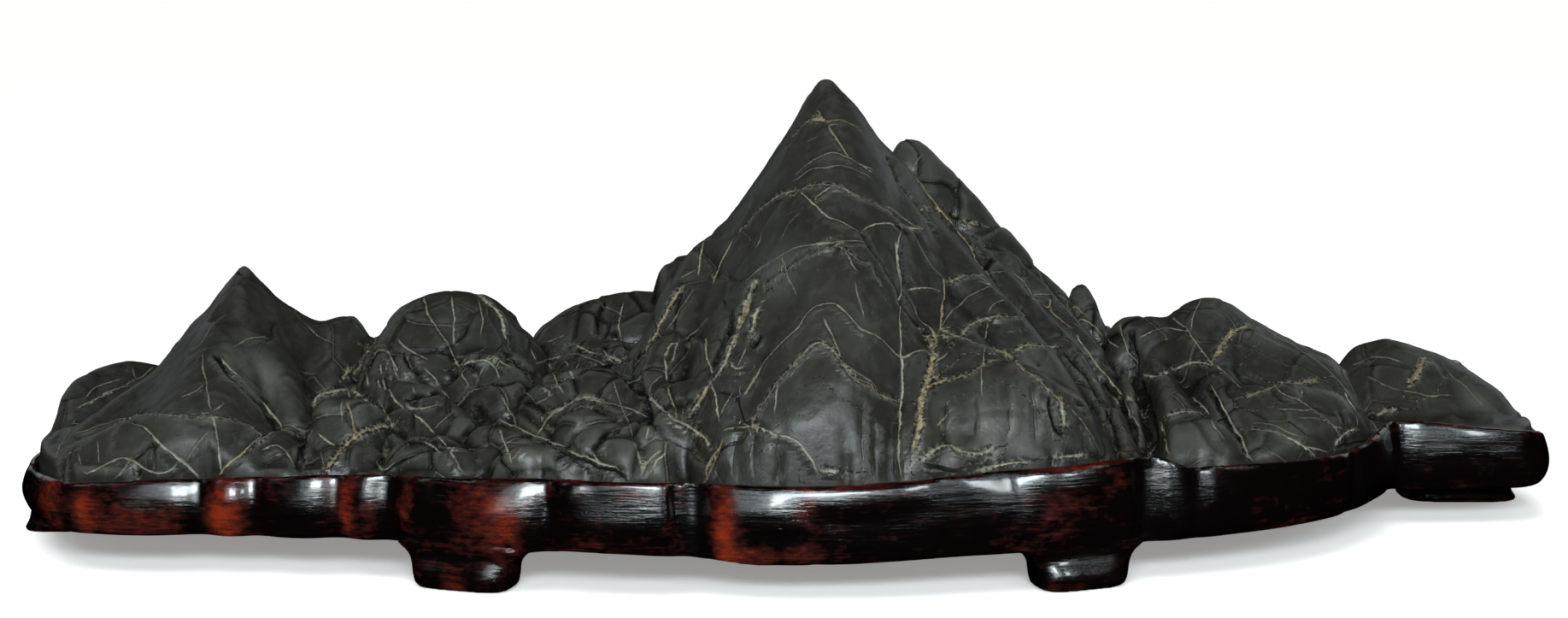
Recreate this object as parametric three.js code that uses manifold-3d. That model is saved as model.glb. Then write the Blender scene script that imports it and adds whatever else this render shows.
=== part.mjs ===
// A suiseki: a black mountain-range stone resting in its carved, lacquered wooden stand.
//
// Millimetres, +Z up. +X runs right along the range, +Y goes to the back. The origin is on the
// ground, under the middle of the stand. Two real pieces: the stone, as nature left it, and the
// stand, carved with its feet from one block of wood.

import * as THREE from "three";
import * as BufferGeometryUtils from "three/addons/utils/BufferGeometryUtils.js";
import Module from "manifold-3d";

// Stand: heights above the ground and distances in from its widest line.
const FOOT_HEIGHT = 9.5;
const FLOOR_HEIGHT = 14.4;
const WALL_IN = 3.9;
const WALL_PROFILE = [
  // share of the wall's height, distance in from the widest line
  [0, 3.4],
  [0.22, 1.2],
  [0.62, 0],
  [0.95, 0.7],
];
const NOTCH_SOFTENING = 1.5;
const OUTLINE_STEP = 1;
const WALL_FACET = 6.2;

// The stand's widest line in plan, lobe by lobe and anticlockwise from the front left notch:
// x and y of the notch, how far the next lobe bulges out, and the rim's height at the notch.
const LOBES = [
  [-183, -57, 2.2, 22.4],
  [-146.5, -60.5, 1.3, 24.1],
  [-133, -61.5, 1.8, 24.7],
  [-112.5, -63.5, 1.3, 25.6],
  [-100, -66.5, 3.4, 26.4],
  [-60, -80, 2.6, 28],
  [-26, -83.5, 1.6, 27.6],
  [5, -87.6, 2.2, 27.5],
  [50, -79.5, 3, 29.8],
  [83.5, -67.5, 0.6, 31.2],
  [96, -64.4, 3.4, 27.4],
  [141, -34, 1, 25.6],
  [158.5, -5.5, 1.6, 28.4],
  [197, -3, 1.4, 25.2],
  [204.2, 14, 0.7, 21.4],
  [202.8, 42, 3, 23],
  [176, 61, 3, 25],
  [140, 68, 4, 25.4],
  [100, 72, 3.4, 26],
  [66, 84.2, 2.5, 27.6],
  [24, 86.1, 1.8, 27],
  [-30, 85.8, 2.6, 27.8],
  [-76, 78, 3, 26.6],
  [-118, 70, 3.4, 26],
  [-158, 60, 3.4, 25],
  [-190, 40, 3, 22.6],
  [-204, 12, 0.8, 20],
  [-203, -18, 2, 19.8],
];

// Feet: name, middle of the foot in plan, turn in degrees, length and depth of its pad.
const FEET = [
  ["front left", -80.5, -69.5, -18.5, 27, 15],
  ["front right", 66, -68.6, 19.5, 25, 15],
  ["left end", -196.5, 0, 0, 16, 27],
  ["right end", 185, 35, 0, 29, 23],
  ["back left", -73, 71.5, 10, 28, 15],
  ["back right", 74, 73.5, -19, 27, 15],
];
const FOOT_PROFILE = [
  // height, how much the pad is drawn in all round
  [0, 0.9],
  [1.3, 0],
  [6.4, 1.9],
  [11, 1.2],
];
const FOOT_SIDES = 12;

// Stone: its side starts this far in from the stand's widest line, and rises from the seat.
const STONE_IN = 4.7;
const SEAT_HEIGHT = 14.9;
const SEAT_WAVE = 0.4;
const SIDE_HEIGHT = 19;
const SIDE_RISE = 9.5;
const SIDE_POWER = 0.7;
const SIDE_BLEND = 1.6;
const LOWEST_GROUND = 26;
const CREASE_BLEND = 0.9;
const CREASE_LIFT = 0.3;

// Facets of the stone: spacing of its surface points and of the rings that follow its side.
const GRID = 5.1;
const GRID_JITTER = 0.5;
const CREST_STEP = 4.2;
const CREST_CLEARANCE = 2.7;
const RING_POINTS = 190;
const RING_INSETS = [0, 0.7, 2.0, 4.6];
const RING_CLEARANCE = 3;
const GORGE_BANK = 1.6;
const SIDE_TURNS = 3;
const SIDE_GAIN = 0.15;

// The stone's mounds and ridges. Each has a crest line of [x, y, z] points. Below the crest the
// surface has come down by `fall` at a distance of `reach`, which is given to the side, to the
// front and to the back, and it comes down by the given power of that distance: near 1 is a
// sharp ridge, 2 a round mound and more a bluff.
const MOUNDS = [
  // name, crest, [side, front, back] reach, fall, power
  // the left end and the left peak
  ["left end mound", [[-192, 12, 39.5], [-185.5, 20, 40.5], [-178, 26, 38.5]], [13, 30, 24], 20, 2],
  ["left end front", [[-189, -16, 29], [-182.5, -20, 32]], [14, 24, 18], 16, 2.2],
  ["left peak", [[-149.5, 10, 68]], [12, 15, 12], 14, 1.15],
  ["left shoulder", [[-160, 8, 58.5], [-163, 4, 53.5], [-166.5, 2, 49]], [9, 18, 14], 13, 1.8],
  ["left peak west ridge", [[-149.5, 9, 66], [-159, 3, 53], [-169, -4, 43], [-180, -14, 35], [-186, -24, 29.5]],
    [14, 44, 14], 20, 1.25],
  ["left peak nose", [[-149.5, 8, 65.5], [-142, -8, 53.5], [-132, -27, 41.5], [-126, -38, 34.5]],
    [10, 13, 16], 13, 1.9],
  ["left peak east ridge", [[-149.5, 10, 67], [-139, 13, 58], [-131, 14, 53.5]], [14, 30, 16], 20, 1.3],
  ["left east knob", [[-129, 16, 53], [-124.5, 17, 54.5], [-121.5, 18, 52]], [8, 26, 14], 16, 1.8],
  ["left plate", [[-178, -38, 30], [-166.5, -40, 35], [-152, -42, 35.5], [-139, -44, 35]], [12, 15, 14], 11, 2.5],
  ["left low west", [[-176, -48, 25], [-166.5, -49, 26]], [9, 8, 10], 9, 2.2],
  ["left low east", [[-152.5, -49, 26], [-145.5, -49, 25]], [9, 8, 10], 9, 2.2],
  ["left low fan", [[-129.5, -46, 32.5], [-125, -48, 30.5]], [9, 10, 10], 10, 2.2],
  // the second dome and the foothills before it
  ["second dome", [[-105.5, 22, 58.5], [-97, 25, 60], [-89.5, 26, 58.5]], [19, 34, 18], 24, 2.2],
  ["second dome west", [[-110.5, 16, 52.5], [-111.5, 4, 47.5]], [12, 20, 14], 16, 2],
  ["second dome east", [[-84, 27, 53.5], [-79, 28, 49.5]], [11, 24, 14], 16, 2],
  ["dome leaf", [[-95, 20, 59], [-91, 6, 48]], [9, 14, 12], 10, 1.5],
  ["shell west", [[-118.5, -35, 39.5], [-112.5, -35, 40]], [10, 13, 11], 13, 2.4],
  ["shell west foot", [[-115, -51, 30.5], [-107.5, -51, 30]], [9, 9, 10], 10, 2.2],
  ["tilted slab", [[-107, -16, 42], [-95, -30, 41], [-84.5, -44, 37.5]], [12, 18, 14], 15, 1.8],
  ["slab foot", [[-93.5, -55, 34], [-84.5, -60, 33]], [12, 10, 12], 12, 2.2],
  ["arc mid west", [[-85.5, 0, 47], [-76.5, -3, 46.5]], [11, 16, 12], 13, 2],
  ["arc mid", [[-81.5, -26, 41.5], [-73.5, -28, 43]], [12, 14, 12], 13, 2.2],
  ["arc mid foot", [[-75, -55, 36], [-68, -59, 35.5]], [12, 12, 14], 13, 2.4],
  ["big shell", [[-61.5, -33, 46], [-51, -36, 47.5], [-43.5, -40, 45]], [14, 20, 13], 17, 2.3],
  ["big shell lap", [[-52, -52, 41.5], [-43.5, -56, 38.5]], [12, 14, 12], 13, 2.2],
  ["front lens", [[-64.5, -69, 34], [-58, -69, 34.5]], [12, 8, 10], 12, 2.2],
  ["front lens east", [[-49, -67, 38], [-43.5, -69, 36]], [11, 8, 10], 12, 2.2],
  ["gully stone", [[-36.5, -66, 38], [-35, -69, 34]], [7, 8, 10], 12, 2],
  // the far ridge between the second dome and the main peak
  ["far ridge", [[-66, 48, 52], [-57.5, 50, 54.5], [-46.5, 50, 56], [-35.5, 48, 55.5]], [12, 26, 20], 20, 2],
  ["far ridge knob", [[-69.5, 44, 49]], [8, 14, 12], 12, 2.2],
  ["far ridge front", [[-58, 22, 46.5], [-45.5, 10, 47.5]], [14, 22, 16], 16, 1.8],
  // the main peak
  ["main cone", [[6.5, 3, 118.5]], [27.5, 34, 26], 40, 1.06],
  ["main spur", [[7, -1, 111], [7, -17, 97.5], [8.5, -36, 84]], [22, 26, 22], 28, 1.9],
  ["main west ridge", [[-8.5, 1, 95], [-15.5, 0, 85.5], [-22.5, 0, 78.5]], [17, 26, 20], 22, 1.5],
  ["main west skirt", [[-22.5, -2, 78], [-27.5, -8, 71], [-32.5, -22, 57.5], [-37, -44, 45.5]],
    [15, 22, 16], 20, 1.7],
  ["main west leaf", [[-12.5, -26, 68], [-19, -42, 55], [-24.5, -58, 42.5]], [10, 16, 16], 16, 1.8],
  ["main west toe", [[-30, -50, 47.5], [-31, -60, 42]], [12, 16, 14], 16, 1.8],
  ["small shoulder", [[-30.5, 6, 69], [-34, 6, 66.5]], [6, 14, 10], 12, 2],
  ["main back ridge", [[28.5, 25, 101.5], [32, 26, 100.5], [38, 27, 94.5], [48, 28, 85], [55, 29, 76.5],
    [62, 29, 69.5], [69.5, 30, 61.5]], [9, 13, 14], 15, 1.5],
  ["main east flank", [[15.5, 3, 110], [21, 4, 102.5], [25.5, 6, 97]], [14, 34, 20], 24, 1.4],
  ["east ridge high", [[28, 4, 90.5], [38.5, -6, 78], [50, -18, 65], [62, -30, 50.5], [71, -42, 35.5]],
    [13, 26, 16], 22, 1.8],
  ["east ridge mid", [[41.5, 8, 80], [57, -2, 64], [70, -16, 48], [80, -38, 30]], [9, 14, 13], 14, 1.7],
  ["east ridge far", [[56.5, 18, 72], [70, 12, 58], [80.5, 0, 44], [86.5, -22, 31.5], [87, -36, 26]],
    [8, 12, 12], 13, 1.6],
  ["central arch", [[9, -44, 77.5], [4.5, -55, 65.5], [0, -66, 50.5]], [20, 20, 22], 20, 2.4],
  ["arch west limb", [[-7, -48, 67.5], [-14, -58, 55], [-18, -68, 44.5]], [10, 12, 14], 13, 2.2],
  ["inner arch", [[5.5, -58, 66], [6, -66, 56.5]], [16, 14, 16], 16, 2.3],
  ["column", [[3, -67, 57], [4.5, -73, 43], [6, -76, 27.5]], [14, 10, 14], 14, 2.4],
  ["column east", [[18.5, -70, 45], [19, -75, 30.5]], [9, 8, 12], 12, 2.2],
  ["arch foot bulge", [[-14.5, -72, 36.5], [-7, -73, 37]], [11, 8, 12], 11, 2.4],
  ["east arch west", [[28, -56, 56.5], [27, -69, 42.5]], [9, 12, 14], 13, 2.2],
  ["east face", [[33.5, -34, 64.5], [40, -48, 57]], [16, 18, 18], 17, 2.2],
  ["east bulge", [[37, -60, 48], [49.5, -58, 52.5], [60, -56, 47]], [14, 14, 16], 16, 2.5],
  ["east bulge low", [[34.5, -73, 35], [44.5, -73, 36], [56, -69, 34.5]], [12, 8, 14], 12, 2.6],
  // the mounds to the right
  ["right knob", [[78.5, 35, 59.5]], [8, 14, 10], 12, 1.7],
  ["right first", [[90, 20, 52], [95.5, 20, 53], [101.5, 20, 52]], [11, 28, 16], 18, 1.9],
  ["right first front", [[91.5, -6, 46.5], [93, -24, 41]], [12, 20, 14], 14, 2],
  ["right peak", [[106.5, 20, 57.5], [111, 20, 58.5], [116.5, 20, 57]], [11, 30, 18], 20, 1.9],
  ["right peak nose", [[110.5, 16, 57.5], [110, -8, 45.5]], [10, 22, 16], 16, 1.9],
  ["right peak east", [[119.5, 19, 54.5], [131, 15, 48.5], [142, 14, 44]], [13, 40, 18], 24, 1.7],
  ["right brow", [[110.5, -22, 41], [124, -20, 41], [136, -14, 38.5]], [13, 22, 16], 14, 2],
  ["right oval", [[94.5, -45, 35.5], [99.5, -46, 36.5]], [12, 12, 14], 14, 2.4],
  ["right slab", [[113.5, -40, 32], [127.5, -34, 32.5]], [13, 14, 14], 13, 2.2],
  ["right toe", [[137.5, -20, 31.5], [144, -18, 27.5]], [10, 12, 12], 12, 2.2],
  ["far right mound", [[159, 40, 42.5], [165.5, 40, 44], [173, 39, 42], [184, 38, 37.5], [192, 34, 32.5]],
    [12, 32, 16], 20, 2],
  ["far right end", [[191, 27, 31], [195.5, 22, 26]], [11, 18, 18], 15, 2.2],
  // the back, which falls in spurs like those of the front
  ["back spur", [[6, 8, 110], [3, 28, 82], [-2, 48, 56], [-6, 64, 38]], [15, 18, 16], 20, 1.8],
  ["back east spur", [[32, 30, 96], [44, 44, 68], [54, 58, 44]], [12, 16, 15], 17, 1.7],
  ["back west spur", [[-22, 4, 77], [-30, 28, 60], [-38, 50, 46]], [14, 18, 18], 18, 1.8],
  ["back east fan", [[66, 34, 58], [78, 54, 38]], [13, 16, 14], 14, 2],
  ["back fan", [[18, 62, 42], [32, 70, 36]], [14, 16, 12], 13, 2.2],
  ["back west fan", [[-58, 60, 42], [-30, 70, 38]], [13, 16, 13], 13, 2.2],
  ["back second dome", [[-98, 28, 57], [-102, 48, 40], [-104, 58, 30]], [14, 18, 14], 16, 2],
  ["back left peak", [[-149, 12, 65], [-152, 30, 45], [-154, 44, 30]], [11, 15, 13], 15, 1.6],
  ["back left fan", [[-132, 42, 34], [-122, 56, 30]], [13, 16, 12], 12, 2.2],
  ["back left end", [[-188, 24, 34], [-176, 38, 28]], [12, 16, 12], 12, 2.2],
  ["back right first", [[92, 26, 49], [94, 46, 36], [96, 58, 28]], [12, 16, 14], 14, 2],
  ["back right peak", [[111, 22, 56], [116, 42, 40], [120, 56, 28]], [12, 16, 14], 15, 1.9],
  ["back right fan", [[138, 30, 39], [146, 50, 28]], [13, 16, 14], 13, 2.1],
  ["back far right", [[168, 42, 40], [172, 52, 28]], [13, 16, 12], 13, 2.1],
];

// Gorges cut into the mounds: name, line of [x, y] points, depth, half width.
const GORGES = [
  ["gap beside the right mounds", [[88, 4], [89, -14], [88.5, -32], [87, -50]], 11, 2.2],
  ["crease left of the nose", [[-153.5, -6], [-143, -20], [-130.5, -38]], 3, 2.4],
  ["notch at the foot of the main peak", [[-28.5, -70], [-21, -80]], 8, 4],
  ["notch right of the left peak", [[-117.5, 14], [-119, -6], [-125.5, -40]], 4, 3],
];

const STONE_FINISH = { color: 0x2b2b27, roughness: 0.5, metalness: 0 };
const STAND_FINISH = { color: 0x3a100a, roughness: 0.18, metalness: 0 };

// Plane curves and their measures.

function lengthsAlong(line) {
  const sums = [0];
  for (let i = 1; i < line.length; i += 1) {
    sums.push(sums[i - 1] + Math.hypot(line[i][0] - line[i - 1][0], line[i][1] - line[i - 1][1]));
  }
  return sums;
}

function resample(line, marks) {
  const along = lengthsAlong(line);
  let i = 0;
  return marks.map((mark) => {
    while (i < line.length - 2 && along[i + 1] < mark) i += 1;
    const share = (mark - along[i]) / Math.max(along[i + 1] - along[i], 1e-9);
    return line[i].map((value, k) => value + share * (line[i + 1][k] - value));
  });
}

// The widest line of the stand as closely spaced [x, y, rim height] points: one arc to a lobe,
// with the notches between them softened as a gouge leaves them.
function widestLine() {
  const raw = [];
  LOBES.forEach(([ax, ay, bulge, az], index) => {
    const [bx, by, , bz] = LOBES[(index + 1) % LOBES.length];
    const chord = Math.hypot(bx - ax, by - ay);
    const steps = Math.ceil(chord / OUTLINE_STEP);
    for (let i = 0; i < steps; i += 1) {
      const share = i / steps;
      const out = 4 * bulge * share * (1 - share);
      raw.push([
        ax + share * (bx - ax) + (out * (by - ay)) / chord,
        ay + share * (by - ay) - (out * (bx - ax)) / chord,
        az + share * share * (3 - 2 * share) * (bz - az),
      ]);
    }
  });
  const reach = Math.ceil((3 * NOTCH_SOFTENING) / OUTLINE_STEP);
  return raw.map((_, i) => {
    const sum = [0, 0, 0];
    let weights = 0;
    for (let k = -reach; k <= reach; k += 1) {
      const weight = Math.exp(-0.5 * ((k * OUTLINE_STEP) / NOTCH_SOFTENING) ** 2);
      const point = raw[(i + k + raw.length) % raw.length];
      point.forEach((value, axis) => {
        sum[axis] += weight * value;
      });
      weights += weight;
    }
    return sum.map((value) => value / weights);
  });
}

// A closed line moved in by a distance, keeping its count of points.
function movedIn(line, distance) {
  const count = line.length;
  const moved = line.map((point, i) => {
    const before = line[(i + count - 2) % count];
    const after = line[(i + 2) % count];
    const dx = after[0] - before[0];
    const dy = after[1] - before[1];
    const size = Math.hypot(dx, dy);
    return [point[0] - (distance * dy) / size, point[1] + (distance * dx) / size, ...point.slice(2)];
  });
  return moved.map((point, i) => {
    const before = moved[(i + count - 1) % count];
    const after = moved[(i + 1) % count];
    return point.map((value, axis) => (before[axis] + 2 * value + after[axis]) / 4);
  });
}

function distanceTo(line, x, y) {
  let nearest = Infinity;
  for (let i = 1; i < line.length; i += 1) {
    const [ax, ay] = line[i - 1];
    const dx = line[i][0] - ax;
    const dy = line[i][1] - ay;
    const share = Math.min(Math.max(((x - ax) * dx + (y - ay) * dy) / (dx * dx + dy * dy), 0), 1);
    nearest = Math.min(nearest, Math.hypot(x - ax - share * dx, y - ay - share * dy));
  }
  return nearest;
}

function isInside(line, x, y) {
  let inside = false;
  line.forEach(([ax, ay], i) => {
    const [bx, by] = line[(i + 1) % line.length];
    if (ay > y !== by > y && x < ((bx - ax) * (y - ay)) / (by - ay) + ax) inside = !inside;
  });
  return inside;
}

// A smooth crest through the given points.
function crestLine(points) {
  if (points.length < 3) return points.length === 1 ? [points[0], points[0]] : points;
  const curve = new THREE.CatmullRomCurve3(points.map((point) => new THREE.Vector3(...point)));
  return curve.getPoints(4 * (points.length - 1)).map((point) => point.toArray());
}

// The stone's surface.

const outline = widestLine();
const stoneEdge = movedIn(outline, STONE_IN);
const stoneLoop = [...stoneEdge, stoneEdge[0]];
const mounds = MOUNDS.map(([name, crest, reach, fall, power]) => ({
  name,
  crest: crestLine(crest),
  reach,
  fall,
  power,
}));
const gorges = GORGES.map(([, line, depth, width]) => ({ line, depth, width }));

function moundHeight({ crest, reach, fall, power }, x, y) {
  let highest = -Infinity;
  for (let i = 1; i < crest.length; i += 1) {
    const [ax, ay, az] = crest[i - 1];
    const [bx, by, bz] = crest[i];
    const dx = bx - ax;
    const dy = by - ay;
    const square = dx * dx + dy * dy;
    const share = square > 0 ? Math.min(Math.max(((x - ax) * dx + (y - ay) * dy) / square, 0), 1) : 0;
    const across = (x - ax - share * dx) / reach[0];
    const along = y - ay - share * dy;
    const distance = Math.hypot(across, along < 0 ? along / reach[1] : along / reach[2]);
    highest = Math.max(highest, az + share * (bz - az) - fall * distance ** power);
  }
  return highest;
}

// Mounds meet in softened creases, gorges are cut in, and the side of the stone rounds down to
// its edge.
function stoneHeight(x, y) {
  const heights = mounds.map((mound) => moundHeight(mound, x, y));
  heights.push(LOWEST_GROUND);
  const highest = Math.max(...heights);
  const sum = heights.reduce((total, height) => total + Math.exp((height - highest) / CREASE_BLEND), 0);
  let ground = highest + CREASE_BLEND * Math.log(sum) - CREASE_LIFT;
  for (const { line, depth, width } of gorges) {
    ground -= depth * Math.exp(-((distanceTo(line, x, y) / width) ** 2));
  }
  const side = SIDE_HEIGHT + SIDE_RISE * distanceTo(stoneLoop, x, y) ** SIDE_POWER;
  const lower = Math.min(ground, side);
  const upper = Math.max(ground, side);
  return lower - SIDE_BLEND * Math.log(1 + Math.exp((lower - upper) / SIDE_BLEND));
}

// Meshes.

function closedMesh(points, faces) {
  const geometry = new THREE.BufferGeometry();
  geometry.setAttribute("position", new THREE.Float32BufferAttribute(points.flat(), 3));
  geometry.setIndex(faces.flat());
  return geometry;
}

// Faces between two closed rings of equal count, the first one lower or further out.
function band(lower, upper, count) {
  const faces = [];
  for (let i = 0; i < count; i += 1) {
    const j = (i + 1) % count;
    faces.push([lower + i, lower + j, upper + j], [lower + i, upper + j, upper + i]);
  }
  return faces;
}

// Flat faces that close a ring, looking up or down.
function lid(ring, start, up) {
  const faces = THREE.ShapeUtils.triangulateShape(ring.map(([x, y]) => new THREE.Vector2(x, y)), []);
  return faces.map(([a, b, c]) => (up ? [start + a, start + b, start + c] : [start + a, start + c, start + b]));
}

// Delaunay triangles of scattered plane points, point by point.
function delaunay(points) {
  const far = 1e4;
  const all = [...points, [-far, -far], [far, -far], [0, far]];
  const circle = (a, b, c) => {
    const [ax, ay] = all[a];
    const [bx, by] = [all[b][0] - ax, all[b][1] - ay];
    const [cx, cy] = [all[c][0] - ax, all[c][1] - ay];
    const twice = 2 * (bx * cy - by * cx);
    const ux = (cy * (bx * bx + by * by) - by * (cx * cx + cy * cy)) / twice;
    const uy = (bx * (cx * cx + cy * cy) - cx * (bx * bx + by * by)) / twice;
    return { corners: [a, b, c], x: ax + ux, y: ay + uy, square: ux * ux + uy * uy };
  };
  let triangles = [circle(points.length, points.length + 1, points.length + 2)];
  points.forEach(([x, y], index) => {
    const edges = new Map();
    const kept = [];
    for (const triangle of triangles) {
      if ((x - triangle.x) ** 2 + (y - triangle.y) ** 2 >= triangle.square) {
        kept.push(triangle);
        continue;
      }
      triangle.corners.forEach((a, k) => {
        const b = triangle.corners[(k + 1) % 3];
        if (!edges.delete(`${b},${a}`)) edges.set(`${a},${b}`, [a, b]);
      });
    }
    for (const [a, b] of edges.values()) kept.push(circle(a, b, index));
    triangles = kept;
  });
  return triangles.map((triangle) => triangle.corners).filter((corners) => Math.max(...corners) < points.length);
}

// Scatter with no regular rows, the same on every run.
function scatter(index, axis) {
  const value = Math.sin(index * 12.9898 + axis * 78.233) * 43758.5453;
  return value - Math.floor(value) - 0.5;
}

// Even steps along a line.
function stepsAlong(line, step) {
  const along = lengthsAlong(line);
  const length = along[along.length - 1];
  const count = Math.max(Math.round(length / step), 1);
  return resample(line, Array.from({ length: count + 1 }, (_, i) => (i * length) / count));
}

// Surface points inside a ring: first along the gorges and the crests that show, then a grid
// between them.
function surfacePoints(ring) {
  const loop = [...ring, ring[0]];
  const fits = (x, y) => isInside(ring, x, y) && distanceTo(loop, x, y) > RING_CLEARANCE;
  const crestPoints = [];
  for (const { line, width } of gorges) {
    const steps = stepsAlong(line, CREST_STEP);
    steps.forEach(([x, y], i) => {
      const [ax, ay] = steps[Math.max(i - 1, 0)];
      const [bx, by] = steps[Math.min(i + 1, steps.length - 1)];
      const size = Math.hypot(bx - ax, by - ay);
      for (const bank of [0, -GORGE_BANK * width, GORGE_BANK * width]) {
        const point = [x + (bank * (by - ay)) / size, y - (bank * (bx - ax)) / size];
        if (fits(...point)) crestPoints.push(point);
      }
    });
  }
  for (const { crest } of mounds) {
    for (const [x, y, z] of stepsAlong(crest, CREST_STEP)) {
      const clear = crestPoints.every(([px, py]) => Math.hypot(px - x, py - y) > CREST_CLEARANCE);
      if (clear && fits(x, y) && stoneHeight(x, y) < z + 1) crestPoints.push([x, y]);
    }
  }
  const gridPoints = [];
  const row = (GRID * Math.sqrt(3)) / 2;
  const [halfLength, halfDepth] = [205, 90];
  for (let j = 0; j * row < 2 * halfDepth; j += 1) {
    for (let i = 0; i * GRID < 2 * halfLength; i += 1) {
      const index = j * 100 + i;
      const x = -halfLength + (i + (j % 2) / 2) * GRID + GRID_JITTER * scatter(index, 0);
      const y = -halfDepth + j * row + GRID_JITTER * scatter(index, 1);
      const clear = crestPoints.every(([px, py]) => Math.hypot(px - x, py - y) > CREST_CLEARANCE);
      if (clear && fits(x, y)) gridPoints.push([x, y]);
    }
  }
  return [...crestPoints, ...gridPoints];
}

// Turns the side that two faces share where the other diagonal follows the ground better.
function turnSides(faces, points) {
  const misfit = (a, b) => [0.25, 0.5, 0.75].reduce((sum, share) => {
    const [x, y, z] = points[a].map((value, axis) => value + share * (points[b][axis] - value));
    return sum + Math.abs(stoneHeight(x, y) - z);
  }, 0);
  const area = (a, b, c) => {
    const [ax, ay] = points[a];
    return (points[b][0] - ax) * (points[c][1] - ay) - (points[b][1] - ay) * (points[c][0] - ax);
  };
  for (let turn = 0; turn < SIDE_TURNS; turn += 1) {
    const sides = new Map();
    faces.forEach((corners, index) => corners.forEach((a, k) => {
      sides.set(`${a},${corners[(k + 1) % 3]}`, index);
    }));
    const turned = new Set();
    for (const [key, one] of sides) {
      const [a, b] = key.split(",").map(Number);
      const two = sides.get(`${b},${a}`);
      if (a > b || two === undefined || turned.has(one) || turned.has(two)) continue;
      const c = faces[one].find((corner) => corner !== a && corner !== b);
      const d = faces[two].find((corner) => corner !== a && corner !== b);
      const convex = Math.min(area(a, d, c), area(d, b, c)) > 1;
      if (!convex || misfit(c, d) > misfit(a, b) - SIDE_GAIN) continue;
      faces[one] = [a, d, c];
      faces[two] = [d, b, c];
      turned.add(one).add(two);
    }
  }
  return faces;
}

function stoneGeometry() {
  const edgeLength = lengthsAlong(stoneLoop)[stoneLoop.length - 1];
  const marks = Array.from({ length: RING_POINTS }, (_, i) => (i * edgeLength) / RING_POINTS);
  const onRing = (inset) => {
    const line = inset > 0 ? movedIn(stoneEdge, inset) : stoneEdge;
    const closed = [...line, line[0]];
    const length = lengthsAlong(closed)[closed.length - 1];
    return resample(closed, marks.map((mark) => (mark * length) / edgeLength)).map(([x, y]) => [x, y]);
  };
  const rings = RING_INSETS.map(onRing);
  const seat = rings[0].map(([x, y], i) => [x, y, SEAT_HEIGHT + SEAT_WAVE * (1 + Math.sin(i * 0.7))]);
  const points = [...seat];
  const faces = lid(rings[0], 0, false);
  rings.forEach((ring, level) => {
    const start = points.length;
    ring.forEach(([x, y]) => points.push([x, y, level === 0 ? SIDE_HEIGHT : stoneHeight(x, y)]));
    faces.push(...band(start - RING_POINTS, start, RING_POINTS));
  });
  const innerRing = rings[rings.length - 1];
  const start = points.length - RING_POINTS;
  const inner = surfacePoints(innerRing);
  inner.forEach(([x, y]) => points.push([x, y, stoneHeight(x, y)]));
  const surface = delaunay([...innerRing, ...inner])
    .map((corners) => corners.map((corner) => start + corner))
    .filter((corners) => {
      const [x, y] = [0, 1].map((axis) => corners.reduce((sum, corner) => sum + points[corner][axis], 0) / 3);
      return isInside(innerRing, x, y);
    });
  return closedMesh(points, [...faces, ...turnSides(surface, points)]);
}

// Places along the outline where the wall has an edge: each notch, its two sides, and even
// steps along the lobe between them.
function wallMarks(loop) {
  const along = lengthsAlong(loop);
  const total = along[along.length - 1];
  const notches = LOBES.map(([x, y]) => {
    let best = 0;
    loop.forEach((point, i) => {
      if (Math.hypot(point[0] - x, point[1] - y) < Math.hypot(loop[best][0] - x, loop[best][1] - y)) best = i;
    });
    return along[best];
  });
  const side = 2.2;
  const marks = [];
  notches.forEach((notch, index) => {
    const next = index + 1 < notches.length ? notches[index + 1] : total + notches[0];
    const steps = Math.max(Math.round((next - notch - 2 * side) / WALL_FACET), 1);
    marks.push(notch);
    for (let i = 0; i <= steps; i += 1) marks.push(notch + side + (i * (next - notch - 2 * side)) / steps);
  });
  return marks.filter((mark) => mark < total).sort((a, b) => a - b);
}

function standBody() {
  const loop = [...outline, outline[0]];
  const marks = wallMarks(loop);
  const count = marks.length;
  const onWall = (inset) => {
    const line = inset > 0 ? movedIn(outline, inset) : outline;
    const lengths = lengthsAlong([...line, line[0]]);
    const base = lengthsAlong(loop);
    return resample([...line, line[0]], marks.map((mark) => {
      const i = Math.min(base.findIndex((value) => value > mark), base.length - 1) - 1;
      const share = (mark - base[i]) / (base[i + 1] - base[i]);
      return lengths[i] + share * (lengths[i + 1] - lengths[i]);
    }));
  };
  const levels = WALL_PROFILE.map(([share, inset]) =>
    onWall(inset).map(([x, y, rim]) => [x, y, FOOT_HEIGHT + share * (rim - FOOT_HEIGHT)]));
  levels.push(onWall(WALL_IN));
  levels.push(onWall(WALL_IN).map(([x, y]) => [x, y, FLOOR_HEIGHT]));
  const faces = lid(levels[0], 0, false);
  for (let level = 1; level < levels.length; level += 1) {
    faces.push(...band((level - 1) * count, level * count, count));
  }
  faces.push(...lid(levels[levels.length - 1], (levels.length - 1) * count, true));
  return closedMesh(levels.flat(), faces);
}

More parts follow.
